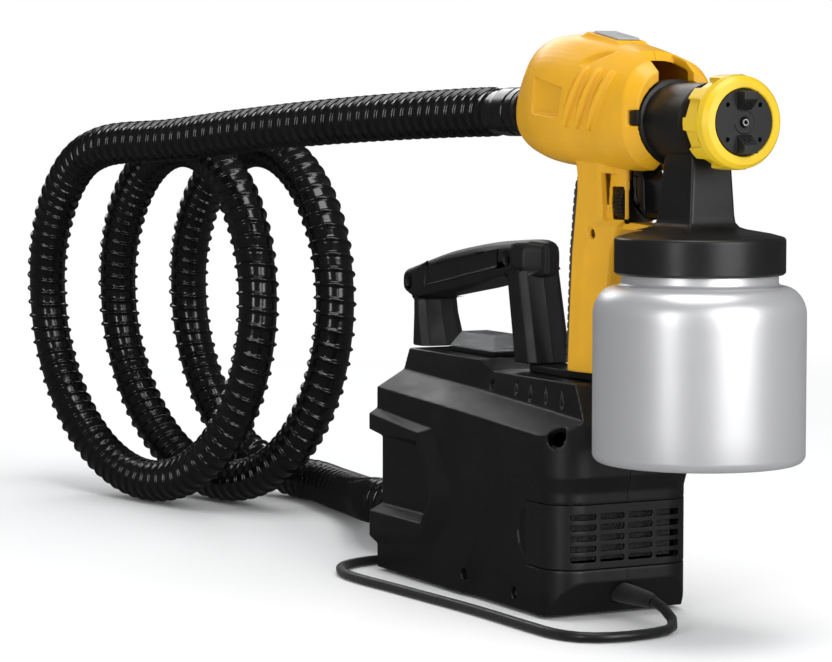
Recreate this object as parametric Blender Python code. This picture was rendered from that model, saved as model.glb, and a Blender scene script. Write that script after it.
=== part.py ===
"""Electric HVLP paint sprayer: a floor-standing turbine base with a carrying
handle, a ribbed air hose, and a spray gun with an aluminium paint cup that docks
on the base.  Design coordinates are millimetres: X across, -Y to the front
(spray direction), +Z up, with X = 0 on the parting plane of base and gun."""

import bmesh
import bpy
import math
from mathutils import Matrix, Vector

for _o in list(bpy.data.objects):
    bpy.data.objects.remove(_o, do_unlink=True)

MM = 0.001
GAP = 0.15                     # half of the gap kept at the parting planes

# ---- driving dimensions (mm) -------------------------------------------------
ORIGIN_Y = 55.5                # the frame origin lies this far in front of the base's middle
FOOT_Z = 2.0                   # underside of the base above the floor
BODY_HALF_W = 50.5
BODY_REAR_Y = 114.0
BODY_FRONT_Y = -120.5
LOWER_HALF_W = 48.0            # recessed lower front
LOWER_FRONT_Y = -117.0
DECK_Z = 144.6
FRONT_DECK_Z = 138.5
HANDLE_HALF_W = 17.0
GUN_AXIS_Z = 292.0
INLET_Z = 298.0
CUP_Y = -193.7
CUP_R = 60.0
CUP_BOTTOM_Z = 101.0
CUP_TOP_Z = 206.5
COLLAR_R = 48.2
RING_NUT_R = 27.0
KNOB_Z = 245.0
AIR_CAP_R = 18.3
HOSE_R = 16.0
CORD_R = 3.0
PORT = (-12.0, 35.0)           # X and Z of the base's air outlet
LOOP_R = 128.0                 # centre line of the hose's loops
COIL_C = (120.0, 190.0)
COIL_MEAN_R = 33.0

# ---- materials ---------------------------------------------------------------


def material(name, colour, rough, metal=0.0, alpha=1.0):
    m = bpy.data.materials.new(name)
    m.use_nodes = True
    b = m.node_tree.nodes["Principled BSDF"]
    b.inputs["Base Color"].default_value = (*colour, 1.0)
    b.inputs["Roughness"].default_value = rough
    b.inputs["Metallic"].default_value = metal
    b.inputs["Alpha"].default_value = alpha
    return m


MAT = {
    "black": material("black_plastic", (0.018, 0.018, 0.019), 0.38),
    "gloss": material("gloss_black", (0.012, 0.012, 0.013), 0.16),
    "yellow": material("yellow_plastic", (0.72, 0.38, 0.02), 0.32),
    "lemon": material("ring_yellow", (0.83, 0.62, 0.03), 0.34),
    "rubber": material("black_rubber", (0.012, 0.012, 0.012), 0.7),
    "steel": material("steel", (0.55, 0.55, 0.56), 0.3, 1.0),
    "alu": material("aluminium", (0.66, 0.66, 0.68), 0.34, 1.0),
    "brass": material("brass", (0.7, 0.5, 0.2), 0.3, 1.0),
    "clear": material("clear_boot", (0.85, 0.86, 0.87), 0.08, 0.0, 0.4),
    "foam": material("foam", (0.03, 0.03, 0.035), 0.95),
    "grey": material("grey_plate", (0.42, 0.42, 0.43), 0.4, 0.6),
    "white": material("nylon", (0.75, 0.75, 0.72), 0.4),
}

# ---- frame and joint empties -------------------------------------------------


def empty(name, at, parent=None):
    e = bpy.data.objects.new(name, None)
    bpy.context.scene.collection.objects.link(e)
    e.parent = parent
    base = Vector(parent["design"]) if parent else Vector((0, 0, 0))
    e.location = (Vector(at) - base) * MM
    e["design"] = tuple(at)
    return e


ROOT = empty("sprayer", (0, 0, 0))
ROOT.location = (0, ORIGIN_Y * MM, 0)

# ---- mesh helpers (design coordinates in mm) ---------------------------------


def fresh(points, faces):
    bm = bmesh.new()
    vs = [bm.verts.new(p) for p in points]
    for f in faces:
        bm.faces.new([vs[i] for i in f])
    bmesh.ops.remove_doubles(bm, verts=bm.verts, dist=1e-5)
    bmesh.ops.recalc_face_normals(bm, faces=bm.faces)
    return bm


def loft(rings, closed=False):
    """Bridges rings of equal length; caps the ends unless closed on itself."""
    n, m = len(rings[0]), len(rings)
    pts = [tuple(p) for r in rings for p in r]
    faces = []
    for j in range(m if closed else m - 1):
        a, b = j * n, ((j + 1) % m) * n
        faces += [[a + i, a + (i + 1) % n, b + (i + 1) % n, b + i] for i in range(n)]
    if not closed:
        faces += [list(range(n))[::-1], [(m - 1) * n + i for i in range(n)]]
    return fresh(pts, faces)


def prism(poly, axis, lo, hi):
    """Extrudes a polygon of the two other coordinates along the axis."""
    def at(a, b, c):
        return {"x": (c, a, b), "y": (a, c, b), "z": (a, b, c)}[axis]
    return loft([[at(a, b, lo) for a, b in poly], [at(a, b, hi) for a, b in poly]])


def frustum(poly_lo, poly_hi, axis, lo, hi):
    def at(a, b, c):
        return {"x": (c, a, b), "y": (a, c, b), "z": (a, b, c)}[axis]
    return loft([[at(a, b, lo) for a, b in poly_lo], [at(a, b, hi) for a, b in poly_hi]])


def box(x0, x1, y0, y1, z0, z1):
    return prism([(x0, y0), (x1, y0), (x1, y1), (x0, y1)], "z", z0, z1)


def turned(profile, centre, axis="z", segs=32, closed=False):
    """Turns (radius, height) points about an axis through centre.  A closed
    profile gives a ring; an open one starts and ends on the axis."""
    cx, cy, cz = centre
    rings = []
    for i in range(segs):
        a = 2 * math.pi * i / segs
        ca, sa = math.cos(a), math.sin(a)
        ring = []
        for r, h in profile:
            if axis == "z":
                ring.append((cx + r * ca, cy + r * sa, cz + h))
            elif axis == "y":
                ring.append((cx + r * ca, cy + h, cz + r * sa))
            else:
                ring.append((cx + h, cy + r * ca, cz + r * sa))
        rings.append(ring)
    n = len(profile)
    bm = bmesh.new()
    verts = []
    for ring in rings:
        verts.append([bm.verts.new(p) for p in ring])
    last = n if closed else n - 1
    for i in range(segs):
        a, b = verts[i], verts[(i + 1) % segs]
        for j in range(last):
            k = (j + 1) % n
            quad = [a[j], b[j], b[k], a[k]]
            bm.faces.new(quad)
    bmesh.ops.remove_doubles(bm, verts=bm.verts, dist=1e-4)
    bmesh.ops.dissolve_degenerate(bm, edges=bm.edges, dist=1e-5)
    bmesh.ops.recalc_face_normals(bm, faces=bm.faces)
    return bm


def rod(r, h0, h1, centre, axis="z", segs=24, bevel=0.0):
    p = [(0, h0), (r - bevel, h0), (r, h0 + bevel), (r, h1 - bevel), (r - bevel, h1), (0, h1)]
    if bevel == 0:
        p = [(0, h0), (r, h0), (r, h1), (0, h1)]
    return turned(p, centre, axis, segs)


def tube(r0, r1, h0, h1, centre, axis="z", segs=32):
    return turned([(r0, h0), (r1, h0), (r1, h1), (r0, h1)], centre, axis, segs, True)


def moved(bm, matrix):
    bmesh.ops.transform(bm, matrix=matrix, verts=bm.verts)
    return bm


def tilted(bm, angle_deg, axis, pivot):
    p = Vector(pivot)
    m = Matrix.Translation(p) @ Matrix.Rotation(math.radians(angle_deg), 4, axis) @ Matrix.Translation(-p)
    return moved(bm, m)


def mirrored(bm):
    out = bm.copy()
    bmesh.ops.scale(out, vec=(-1, 1, 1), verts=out.verts)
    bmesh.ops.reverse_faces(out, faces=out.faces)
    return out


def as_object(bm, name="scratch"):
    me = bpy.data.meshes.new(name)
    bmesh.ops.triangulate(bm, faces=[f for f in bm.faces if len(f.verts) > 4])
    bm.to_mesh(me)
    o = bpy.data.objects.new(name, me)
    bpy.context.scene.collection.objects.link(o)
    return o


def combine(base, other, operation):
    """Exact Boolean of two bmeshes in mm; returns a new bmesh."""
    a, b = as_object(base), as_object(other)
    mod = a.modifiers.new("b", "BOOLEAN")
    mod.operation = operation
    mod.object = b
    mod.solver = "EXACT"
    graph = bpy.context.evaluated_depsgraph_get()
    me = bpy.data.meshes.new_from_object(a.evaluated_get(graph), depsgraph=graph)
    out = bmesh.new()
    out.from_mesh(me)
    bmesh.ops.remove_doubles(out, verts=out.verts, dist=2e-4)
    for o in (a, b):
        bpy.data.objects.remove(o, do_unlink=True)
    return out


def cut(base, *others):
    for o in others:
        base = combine(base, o, "DIFFERENCE")
    return base


def join(base, *others):
    for o in others:
        base = combine(base, o, "UNION")
    return base


def common(base, other):
    return combine(base, other, "INTERSECT")


def part(name, bm, mat, group, smooth=35):
    """One named solid, parented to its group's empty, which is its origin."""
    o = as_object(bm, name)
    pivot = Vector(group["design"])
    for v in o.data.vertices:
        v.co = (v.co - pivot) * MM
    o.parent = group
    o.data.materials.append(MAT[mat])
    if smooth:
        o.data.shade_smooth()
        o.data.set_sharp_from_angle(angle=math.radians(smooth))
    return o


def smooth_path(route, count):
    """Points at equal spacing along a Catmull-Rom curve through the route."""
    p = [Vector(q) for q in route]
    p = [p[0] * 2 - p[1]] + p + [p[-1] * 2 - p[-2]]
    dense = []
    for i in range(1, len(p) - 2):
        p0, p1, p2, p3 = p[i - 1:i + 3]
        t1 = (p1 - p0).length ** 0.5
        t2 = t1 + (p2 - p1).length ** 0.5
        t3 = t2 + (p3 - p2).length ** 0.5
        for k in range(24):
            t = t1 + (t2 - t1) * k / 24
            a1 = p0 * ((t1 - t) / t1) + p1 * (t / t1)
            a2 = p1 * ((t2 - t) / (t2 - t1)) + p2 * ((t - t1) / (t2 - t1))
            a3 = p2 * ((t3 - t) / (t3 - t2)) + p3 * ((t - t2) / (t3 - t2))
            b1 = a1 * ((t2 - t) / t2) + a2 * (t / t2)
            b2 = a2 * ((t3 - t) / (t3 - t1)) + a3 * ((t - t1) / (t3 - t1))
            dense.append(b1 * ((t2 - t) / (t2 - t1)) + b2 * ((t - t1) / (t2 - t1)))
    dense.append(p[-2])
    run = [0.0]
    for a, b in zip(dense, dense[1:]):
        run.append(run[-1] + (b - a).length)
    out, j = [], 0
    for i in range(count):
        s = run[-1] * i / (count - 1)
        while j < len(run) - 2 and run[j + 1] < s:
            j += 1
        f = (s - run[j]) / max(run[j + 1] - run[j], 1e-9)
        out.append(dense[j].lerp(dense[j + 1], min(max(f, 0), 1)))
    return out, run[-1]


def flexible(name, route, count, radius, mat, resolution):
    points, length = smooth_path(route, count)
    cu = bpy.data.curves.new(name, "CURVE")
    cu.dimensions = "3D"
    sp = cu.splines.new("POLY")
    sp.points.add(len(points) - 1)
    for q, v in zip(sp.points, points):
        q.co = (*(v * MM), 1)
    cu.bevel_depth = radius * MM
    cu.bevel_resolution = resolution
    cu.use_fill_caps = True
    cu.materials.append(MAT[mat])
    o = bpy.data.objects.new(name, cu)
    bpy.context.scene.collection.objects.link(o)
    o.parent = ROOT
    return length


# ---- the base's housing ------------------------------------------------------


def plan_outline(half_w, front, rear, corner, n=7):
    """Plan view of the housing: square rear corners, round front ones."""
    pts = [(-half_w, rear), (-half_w, front + corner)]
    for i in range(1, n):
        a = math.pi / 2 * i / n
        pts.append((-half_w + corner * (1 - math.cos(a)), front + corner * (1 - math.sin(a))))
    pts.append((-half_w + corner, front))
    return pts + [(-x, y) for x, y in reversed(pts)]


def roof_sections(t):
    """Cross sections of the housing along Y, drawn in by the wall t."""
    rows = []
    for y, zs, zf, zd in ((BODY_REAR_Y - t, 120, 131, DECK_Z), (15, 115.3, 126.5, DECK_Z),
                          (-2, 114.5, 125.5, FRONT_DECK_Z), (-80, 110, 121, FRONT_DECK_Z),
                          (BODY_FRONT_Y - 2 + t, 107.6, 118, FRONT_DECK_Z)):
        w = BODY_HALF_W - t
        half = [(-w, FOOT_Z + t), (-w, zs - 0.6 * t), (-31 + 0.9 * t, zf - 0.8 * t),
                (-27 + t, zd - t)]
        row = half + [(-x, z) for x, z in reversed(half)]
        rows.append([(x, y, z) for x, z in row])
    return rows


def housing(t):
    """The housing's outer block, or its hollow when t is the wall."""
    upper = loft(roof_sections(t))
    plan = prism(plan_outline(BODY_HALF_W - t, BODY_FRONT_Y + t, BODY_REAR_Y - t, 25 - t / 2),
                 "z", FOOT_Z + t, 200)
    side = prism([(BODY_REAR_Y - t, FOOT_Z + t), (BODY_REAR_Y - t, 200), (-101, 200),
                  (-101, FRONT_DECK_Z - t), (BODY_FRONT_Y + t, 115 - t),
                  (BODY_FRONT_Y + t, FOOT_Z + t)], "x", -80, 80)
    return common(common(upper, plan), side)


body = housing(0.0)
# The lower front is drawn in: a slanted step on each side and a ledge in front.
for s in (-1, 1):
    outer_edge = [(-46, 82), (9.4, FOOT_Z - 4), (-140, FOOT_Z - 4), (-140, 84.6), (-60, 84.6)]
    inner_edge = [(-60, 70.5), (-13, FOOT_Z - 4), (-140, FOOT_Z - 4), (-140, 76), (-64, 76)]
    lo, hi = (inner_edge, outer_edge)
    wedge = frustum(lo, hi, "x", LOWER_HALF_W * s, (BODY_HALF_W + 0.6) * s)
    body = cut(body, wedge)
outside = cut(box(-70, 70, -140, BODY_FRONT_Y + 26, -6, 76),
              prism(plan_outline(LOWER_HALF_W, LOWER_FRONT_Y, 0, 20), "z", -8, 90))
body = cut(body, outside)
ledge = cut(box(-70, 70, -140, BODY_FRONT_Y + 30, 75.9, 84.6),
            loft([[(x, y, 75.8) for x, y in plan_outline(LOWER_HALF_W, LOWER_FRONT_Y, 0, 20)],
                  [(x, y, 84.7) for x, y in plan_outline(BODY_HALF_W + 0.05, BODY_FRONT_Y - 0.05, 0, 25)]]))
body = cut(body, ledge)
# sloping underside at the front
body = cut(body, prism([(-98, FOOT_Z - 3), (-102, FOOT_Z), (-117.2, 22.6), (-124, 22.6), (-124, FOOT_Z - 3)], "x", -70, 70))

# C-shaped raised panels on both sides
for s in (-1, 1):
    foot = [(113.9, 108), (29.4, 102), (2.5, 62), (25.2, 28.7), (113.9, 15)]
    crest = [(113.9, 103), (44.8, 96.5), (22.6, 59.7), (37.8, 34.5), (113.9, 23)]
    panel = frustum(foot, crest, "x", s * 48.0, s * 56.5)
    body = join(body, panel)
    hollow = frustum([(118, 88), (54, 86), (37, 59.7), (46, 44), (118, 44)],
                     [(118, 93), (47, 92), (28, 59.7), (41, 39.5), (118, 39.5)],
                     "x", s * 46.8, s * 56.6)
    body = cut(body, hollow)

# openings: air port, cable hole, filter window, switch hole
hollow = housing(3.4)
hollow = common(hollow, prism(plan_outline(42.6, -111.4, 110.6, 17), "z", FOOT_Z + 3, 141.2))
hollow = cut(hollow, prism([(-90, 0), (-96, 5), (-113, 28), (-130, 28), (-130, 0)], "x", -70, 70))
body = cut(body, hollow)
body = cut(body, rod(14.6, 104, 120, (PORT[0], 0, PORT[1]), "y", 32))
body = cut(body, rod(6.6, -120, -90, (0, 0, 14.5), "y", 20))
SW = (52.0, 30.0, 11.5)         # switch: middle Y, half length, half width
body = cut(body, box(-SW[2] - 0.5, SW[2] + 0.5, SW[0] - SW[1] + 4, SW[0] + SW[1] - 4, 130, 150))
WIN = (30.3, 68.8)
window = box(-36, 36, -130, -100, WIN[0] + 4, WIN[1] - 4)
body = cut(body, window)
# seat for the wrap-around filter cover
seat = cut(box(-60, 60, -130, -80, WIN[0], WIN[1]),
           prism(plan_outline(LOWER_HALF_W - 2.6, LOWER_FRONT_Y + 2.6, 0, 17.6), "z", 0, 100))
body = cut(body, seat)
# screw wells on each side
WELLS = [(-6.0, 14.0), (-66.0, 11.0), (-4.0, 129.5)]
for s in (-1, 1):
    for y, z in WELLS[:2]:
        body = cut(body, rod(3.2, 43.0 if s > 0 else -60, 60 if s > 0 else -43.0, (0, y, z), "x", 16))

left_half = common(body, box(-90, -GAP, -200, 200, -10, 250))
right_half = common(body, box(GAP, 90, -200, 200, -10, 250))
part("body_shell_left", left_half, "black", ROOT)
part("body_shell_right", right_half, "black", ROOT)
body.free()

# ---- carrying handle, in two halves -----------------------------------------


def handle_bar():
    rows = []
    for y, w, top, bottom in ((-20.5, 3.0, 217, 197.5), (-13, 13.0, 218.8, 196.6), (-5, HANDLE_HALF_W, 219.2, 197.2),
                              (25, HANDLE_HALF_W, 217, 191.5), (55, HANDLE_HALF_W, 213.5, 186),
                              (85, HANDLE_HALF_W, 208.8, 181.5), (112, HANDLE_HALF_W, 203, 177.5),
                              (130, HANDLE_HALF_W, 198.8, 174.6), (142.7, HANDLE_HALF_W, 195.6, 178.5)):
        c = min(7.0, w)
        half = [(-w + 0.6 * c, bottom), (-w, bottom + 5), (-w, top - 5.5), (-w + c, top - 0.6), (0, top)]
        row = half + [(-x, z) for x, z in reversed(half[:-1])]
        rows.append([(x, y, z) for x, z in row])
    return loft(rows)


def handle_posts():
    def section(rear, front, w, z):
        return [(-w, rear, z), (-w, front + 6, z), (-w * 0.66, front + 1.2, z), (0, front, z),
                (w * 0.66, front + 1.2, z), (w, front + 6, z), (w, rear, z)]
    front = loft([section(-7.0, -29.3, 15.5, FRONT_DECK_Z + 5.3), section(5.0, -15.0, 15.0, 201)])
    foot = loft([section(128.8, 111.8, 17.0, DECK_Z + 0.3), section(130.5, 119.0, 15.4, 166), section(131.5, 121.5, 15.0, 180)])
    return front, foot


bar = handle_bar()
front_post, rear_post = handle_posts()
handle = join(bar, front_post, rear_post)
HANDLE_SCREWS = [(1.0, 207.5), (134.5, 187.0)]
for y, z in HANDLE_SCREWS:
    handle = cut(handle, rod(2.9, -40, -8, (0, y, z), "x", 16))
part("handle_left", common(handle, box(-90, -GAP, -200, 200, 100, 250)), "black", ROOT)
part("handle_right", common(handle, box(GAP, 90, -200, 200, 100, 250)), "black", ROOT)
for i, (y, z) in enumerate(HANDLE_SCREWS):
    part(f"handle_screw_{i + 1}", rod(2.5, -12.0, -8.3, (0, y, z), "x", 12), "steel", ROOT)

# ---- filter cover, foam, dock, feet -----------------------------------------
cover = cut(prism(plan_outline(LOWER_HALF_W, LOWER_FRONT_Y, -80.4, 20, 7), "z", WIN[0] + 0.35, WIN[1] - 0.35),
            prism(plan_outline(LOWER_HALF_W - 2.2, LOWER_FRONT_Y + 2.2, 0, 17.8, 7), "z", 0, 100))
for col in range(4):
    for row in range(5):
        x0 = -37.6 + col * 19.2
        z0 = 34.6 + row * 6.25
        cover = cut(cover, box(x0, x0 + 16.6, -130, -100, z0, z0 + 3.5))
COVER_PULL = empty("filter_cover_slide", (0, LOWER_FRONT_Y, 49.5), ROOT)
part("filter_cover", cover, "black", COVER_PULL)
part("air_filter", box(-34.0, 34.0, -109.4, -100.6, WIN[0] + 4.6, WIN[1] - 4.6), "foam", ROOT)

plate = prism([(-12.5, -20.5), (-13.5, -70), (-11, -78.6), (11, -78.6), (13.5, -70), (12.5, -20.5)], "z",
              FRONT_DECK_Z + 0.3, FRONT_DECK_Z + 4.9)
peg = frustum([(-6.6, -101), (6.6, -101), (6.6, -79), (-6.6, -79)],
              [(-5.6, -99.5), (5.6, -99.5), (5.6, -80.5), (-5.6, -80.5)], "z", FRONT_DECK_Z + 0.3, 168)
pad = prism([(-12, -72), (-12, -104), (12, -104), (12, -72)], "z", FRONT_DECK_Z + 0.3, FRONT_DECK_Z + 4.9)
part("gun_dock", join(plate, pad, peg), "black", ROOT)
for i, (x, y) in enumerate(((-36, -84), (36, -84), (-38, 98), (38, 98))):
    part(f"foot_{i + 1}", rod(7.0, 0, FOOT_Z - 0.3, (x, y, 0), "z", 16, 0.8), "rubber", ROOT)
for i, (y, z) in enumerate(WELLS[:2]):
    part(f"body_screw_{i + 1}", rod(2.7, -46.0, -43.2, (0, y, z), "x", 12), "steel", ROOT)

# ---- turbine -----------------------------------------------------------------
TURB = (0.0, 36.0, 60.0)        # the turbine's axis runs along Y through this point
part("motor_mount_ring", tube(30.4, 36.0, 6.0, 14.0, (TURB[0], TURB[1], TURB[2]), "y", 28), "rubber", ROOT)
can = turned([(4.2, -30), (28, -30), (30, -28), (30, 30), (26, 32), (26, 29.8), (4.2, 29.8)],
             (TURB[0], TURB[1], TURB[2]), "y", 28, True)
part("turbine_motor", can, "steel", ROOT)
volute = turned([(40.0, 36), (40.0, 62), (9.0, 62), (9.0, 60), (38.0, 60), (38.0, 38), (30, 38), (30, 36)],
                (TURB[0], TURB[1], TURB[2]), "y", 32, True)
volute = cut(volute, box(-20, -6, TURB[1] + 40, TURB[1] + 58, 18, 30))
part("fan_housing", volute, "black", ROOT)
ROTOR = empty("turbine_spin", TURB, ROOT)
hub = rod(7.0, 40.5, 57.0, TURB, "y", 16)
disc = rod(35.0, 40.5, 42.5, TURB, "y", 32)
wheel = join(disc, hub)
for k in range(8):
    blade = box(6.0, 34.0, TURB[1] + 42.0, TURB[1] + 55.0, TURB[2] - 0.8, TURB[2] + 0.8)
    blade = tilted(blade, 45 * k, "Y", TURB)
    wheel = join(wheel, blade)
wheel = cut(wheel, rod(3.3, 30, 70, TURB, "y", 16))
part("turbine_fan", wheel, "alu", ROTOR)
part("turbine_shaft", rod(3.0, -33, 56.5, TURB, "y", 16), "steel", ROTOR)

# ---- air outlet --------------------------------------------------------------
px, pz = PORT
duct = turned([(11.4, 99.5), (13.8, 99.5), (13.8, 113.0), (14.2, 114.4), (17.2, 114.4), (17.2, 119.5), (11.4, 119.5)],
              (px, 0, pz), "y", 28, True)
part("outlet_socket", duct, "black", ROOT)
cuff = turned([(12.0, 119.9), (15.6, 119.9), (16.4, 122), (16.4, 143), (15.6, 147.6), (12.0, 147.6)],
              (px, 0, pz), "y", 28, True)
part("hose_cuff_base", cuff, "black", ROOT)

# ---- switch under the handle -------------------------------------------------
sy, sl, sw = SW
frame_z = DECK_Z
bezel = cut(box(-sw - 3, sw + 3, sy - sl, sy + sl, frame_z + 0.3, frame_z + 3.0),
            box(-sw + 1.5, sw - 1.5, sy - sl + 7, sy + sl - 7, 100, 200))
bezel = join(bezel, cut(box(-sw, sw, sy - sl + 4.6, sy + sl - 4.6, 134, frame_z + 1),
                        box(-sw + 1.5, sw - 1.5, sy - sl + 7, sy + sl - 7, 100, 200)))
part("switch_frame", bezel, "black", ROOT)
ROCK = empty("switch_rock", (0, sy, frame_z + 1.0), ROOT)
ry, rz = sl - 8.2, frame_z + 1.0
rocker = prism([(sy - ry, rz + 0.6), (sy, rz + 2.2), (sy + ry, rz + 4.6), (sy + ry - 1.4, rz - 3.4), (sy, rz - 5.2), (sy - ry + 1.4, rz - 6.6)],
               "x", -sw + 2.2, sw - 2.2)
part("rocker_switch", rocker, "black", ROCK)
boot = frustum([(-sw - 2.6, sy - sl + 0.4), (sw + 2.6, sy - sl + 0.4), (sw + 2.6, sy + sl - 0.4), (-sw - 2.6, sy + sl - 0.4)],
               [(-sw + 2.2, sy - sl + 8), (sw - 2.2, sy - sl + 8), (sw - 2.2, sy + sl - 8), (-sw + 2.2, sy + sl - 8)],
               "z", frame_z + 3.3, frame_z + 13.0)
boot = cut(boot, frustum([(-sw - 0.6, sy - sl + 2.4), (sw + 0.6, sy - sl + 2.4), (sw + 0.6, sy + sl - 2.4), (-sw - 0.6, sy + sl - 2.4)],
                         [(-sw + 2.8, sy - sl + 8.6), (sw - 2.8, sy - sl + 8.6), (sw - 2.8, sy + sl - 8.6), (-sw + 2.8, sy + sl - 8.6)],
                         "z", frame_z + 3.2, frame_z + 11.4))
part("switch_boot", boot, "clear", ROOT)

# ---- mains lead --------------------------------------------------------------
relief = turned([(0, -92), (8.2, -92), (8.2, -95), (6.2, -95.2), (6.2, -112), (5.4, -114), (3.9, -146), (0, -146)],
                (0, 0, 14.5), "y", 20)
part("strain_relief", relief, "rubber", ROOT)

# ---- spray gun: lifts off its dock ------------------------------------------
GUN = empty("gun_lift", (0, -85.0, 146.0), ROOT)


def egg(y, half_w, z_low, z_high, n=20, square=2.6):
    """One rounded cross section of the gun's housing."""
    cz, hz = (z_low + z_high) / 2, (z_high - z_low) / 2
    out = []
    for i in range(n):
        a = 2 * math.pi * (i + 0.5) / n
        c, s = math.cos(a), math.sin(a)
        k = (abs(c) ** square + abs(s) ** square) ** (-1 / square)
        out.append((half_w * c * k, y, cz + hz * s * k))
    return out


def gun_head(t):
    rows = [(-4 - t, 14.0, 286.0, 312.0), (-7 - t, 19.0, 281.0, 319.0), (-13, 23.5, 276.5, 325.5), (-24, 27.5, 272.0, 333.5),
            (-38, 30.0, 269.0, 340.0), (-55, 31.0, 266.5, 343.4), (-75, 31.5, 265.0, 344.2), (-95, 31.5, 264.4, 343.6),
            (-120, 31.0, 263.8, 340.0), (-140, 30.4, 263.4, 334.6), (-157, 29.6, 264.0, 328.6), (-170 + t, 26.6, 268.0, 321.5)]
    return loft([egg(y, w - t, a + t, b - t) for y, w, a, b in rows])


def grip_sections(t):
    rows = []
    for z, rear, front, w, fw in ((280, -82, -133, 19, 12), (262, -86, -132, 18.4, 11.6), (252, -85, -131.5, 17.8, 11.4), (236, -81.5, -131, 17.2, 11.4),
                                  (231, -80.5, -122, 17, 11.6), (216, -77.2, -114, 16.6, 12), (190, -75, -111, 16.6, 12.4), (165, -73.6, -109, 16.8, 12.8),
                                  (144.0 + (0 if t == 0 else -2), -73, -107.5, 17.2, 13)):
        f, r, w, fw = front + t, rear - t, w - t, fw - t
        half = [(-fw + 2.5, f), (-fw, f + 2.5), (-w, f + 20), (-w, r - 2.5), (-w + 2, r)]
        row = half + [(-x, y) for x, y in reversed(half)]
        rows.append([(x, y, z) for x, y in row])
    return loft(rows)


gun = join(gun_head(0), common(grip_sections(0), box(-60, 60, -200, 50, 100, 278)))
# raised seat of the label plate, behind the front brow
seat = frustum([(-12, -76), (12, -76), (12.5, -128), (-12.5, -128)], [(-9.5, -84), (9.5, -84), (9.5, -119), (-9.5, -119)], "z", 334, 345.2)
gun = join(gun, seat)
# open brow above the barrel, between two arms
gun = cut(gun, box(-12.5, 12.5, -190, -146.7, 296, 345))
# ledge under the trigger
gun = join(gun, prism([(-118, 229.4), (-149.5, 229.9), (-151, 231.4), (-149.5, 233.0), (-118, 234.5)], "x", -7.5, 7.5))
# hollow inside, barrel mouth, trigger slot, inlet, and open foot
inner = common(gun_head(2.6), box(-28, 28, -161, -7.5, 200, 341))
gun = cut(gun, inner)
gun = cut(gun, common(grip_sections(2.8), box(-60, 60, -200, 50, 100, 279)))
gun = cut(gun, rod(25.2, -200, -155, (0, 0, GUN_AXIS_Z + 0.6), "y", 32))
gun = cut(gun, rod(13.8, -30, 30, (0, 0, INLET_Z), "y", 28))
gun = cut(gun, box(-8.4, 8.4, -190, -122, 256, 275))
gun = cut(gun, box(-8.4, 8.4, -170, -129.5, 234.0, 262))
gun = cut(gun, box(-30, 30, -129.4, -118.6, KNOB_Z - 9.5, KNOB_Z + 9.5))
gun = cut(gun, rod(14.0, -129.4, -118.6, (0, 0, KNOB_Z), "y", 24))
# notch for the release tab in the left lip
gun = cut(gun, box(-34, -24.4, -174, -161.6, 290.0, 298.8))
# rear grip strip seat and screw wells
GUN_SCREWS = [(-101.0, 226.5)]
gun = cut(gun, rod(2.9, -40, -11, (0, GUN_SCREWS[0][0], GUN_SCREWS[0][1]), "x", 16))
part("gun_shell_left", common(gun, box(-90, -GAP, -300, 100, 100, 400)), "yellow", GUN)
part("gun_shell_right", common(gun, box(GAP, 90, -300, 100, 100, 400)), "yellow", GUN)
gun.free()
part("gun_screw", rod(2.5, -13.6, -11.4, (0, GUN_SCREWS[0][0], GUN_SCREWS[0][1]), "x", 12), "steel", GUN)
part("label_plate", frustum([(-7.6, -88), (7.6, -88), (7.6, -116.5), (-7.6, -116.5)], [(-7.0, -88.6), (7.0, -88.6), (7.0, -115.9), (-7.0, -115.9)], "z", 345.5, 346.6), "grey", GUN)


def strip_row(z, rear, depth, w):
    half = [(-w, rear + 0.35), (-w + 0.6, rear + 0.5 * depth), (-w + 5.5, rear + depth)]
    return [(x, y, z) for x, y in half + [(-x, y) for x, y in reversed(half)]]


strip = loft([strip_row(149, -73, 10.5, 14.6), strip_row(165, -73.6, 10.6, 14.4), strip_row(190, -75, 11, 14.2), strip_row(216, -77.2, 12, 14.2),
              strip_row(231, -80.5, 13, 14.4), strip_row(236, -81.5, 13.4, 14.6), strip_row(252, -85, 14, 15), strip_row(259, -85.6, 12, 14.5)])
part("grip_strip", strip, "rubber", GUN)

inlet = turned([(10.6, -16), (13.4, -16), (13.4, -3.4), (15.2, -3.4), (15.2, 1), (10.6, 1)], (0, 0, INLET_Z), "y", 28, True)
part("air_inlet", inlet, "black", GUN)
gcuff = turned([(12.0, 1.4), (14.6, 1.4), (15.2, 4), (15.2, 29), (14.6, 31), (12.0, 31)], (0, 0, INLET_Z), "y", 28, True)
part("hose_cuff_gun", gcuff, "black", GUN)

# ---- front end: barrel, nozzle, needle, cap, neck and cup --------------------
FRONT = empty("front_end_twist", (0, -165, GUN_AXIS_Z), GUN)
ax = (0, 0, GUN_AXIS_Z)
barrel = turned([(17.5, -212), (19.6, -212), (19.6, -206), (22.0, -205), (22.0, -168), (24.2, -167.5), (24.2, -160), (20.0, -160), (20.0, -168), (17.5, -172)], ax, "y", 32, True)
neck_col = loft([
    [(x, y, 277.0) for x, y in ((-12.4, -177), (-12.4, -203), (12.4, -203), (12.4, -177))],
    [(x, y, 270.0) for x, y in ((-13.2, -175), (-13.2, -206), (13.2, -206), (13.2, -175))],
    [(x, y, 232.5) for x, y in ((-15.6, -170.5), (-15.6, -207.5), (15.6, -207.5), (15.6, -170.5))]])
lid = turned([(0, 236.5 - 4), (21, 233.5), (40, 229.6), (47.2, 228.0), (48.2, 226.6), (48.2, 208.2), (46.9, 206.9), (45.4, 206.9), (45.4, 222.6), (0, 223.6)], (0, CUP_Y, 0), "z", 40)
front_body = join(neck_col, lid)
front_body = cut(front_body, rod(19.5, -240, -150, ax, "y", 32))
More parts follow.
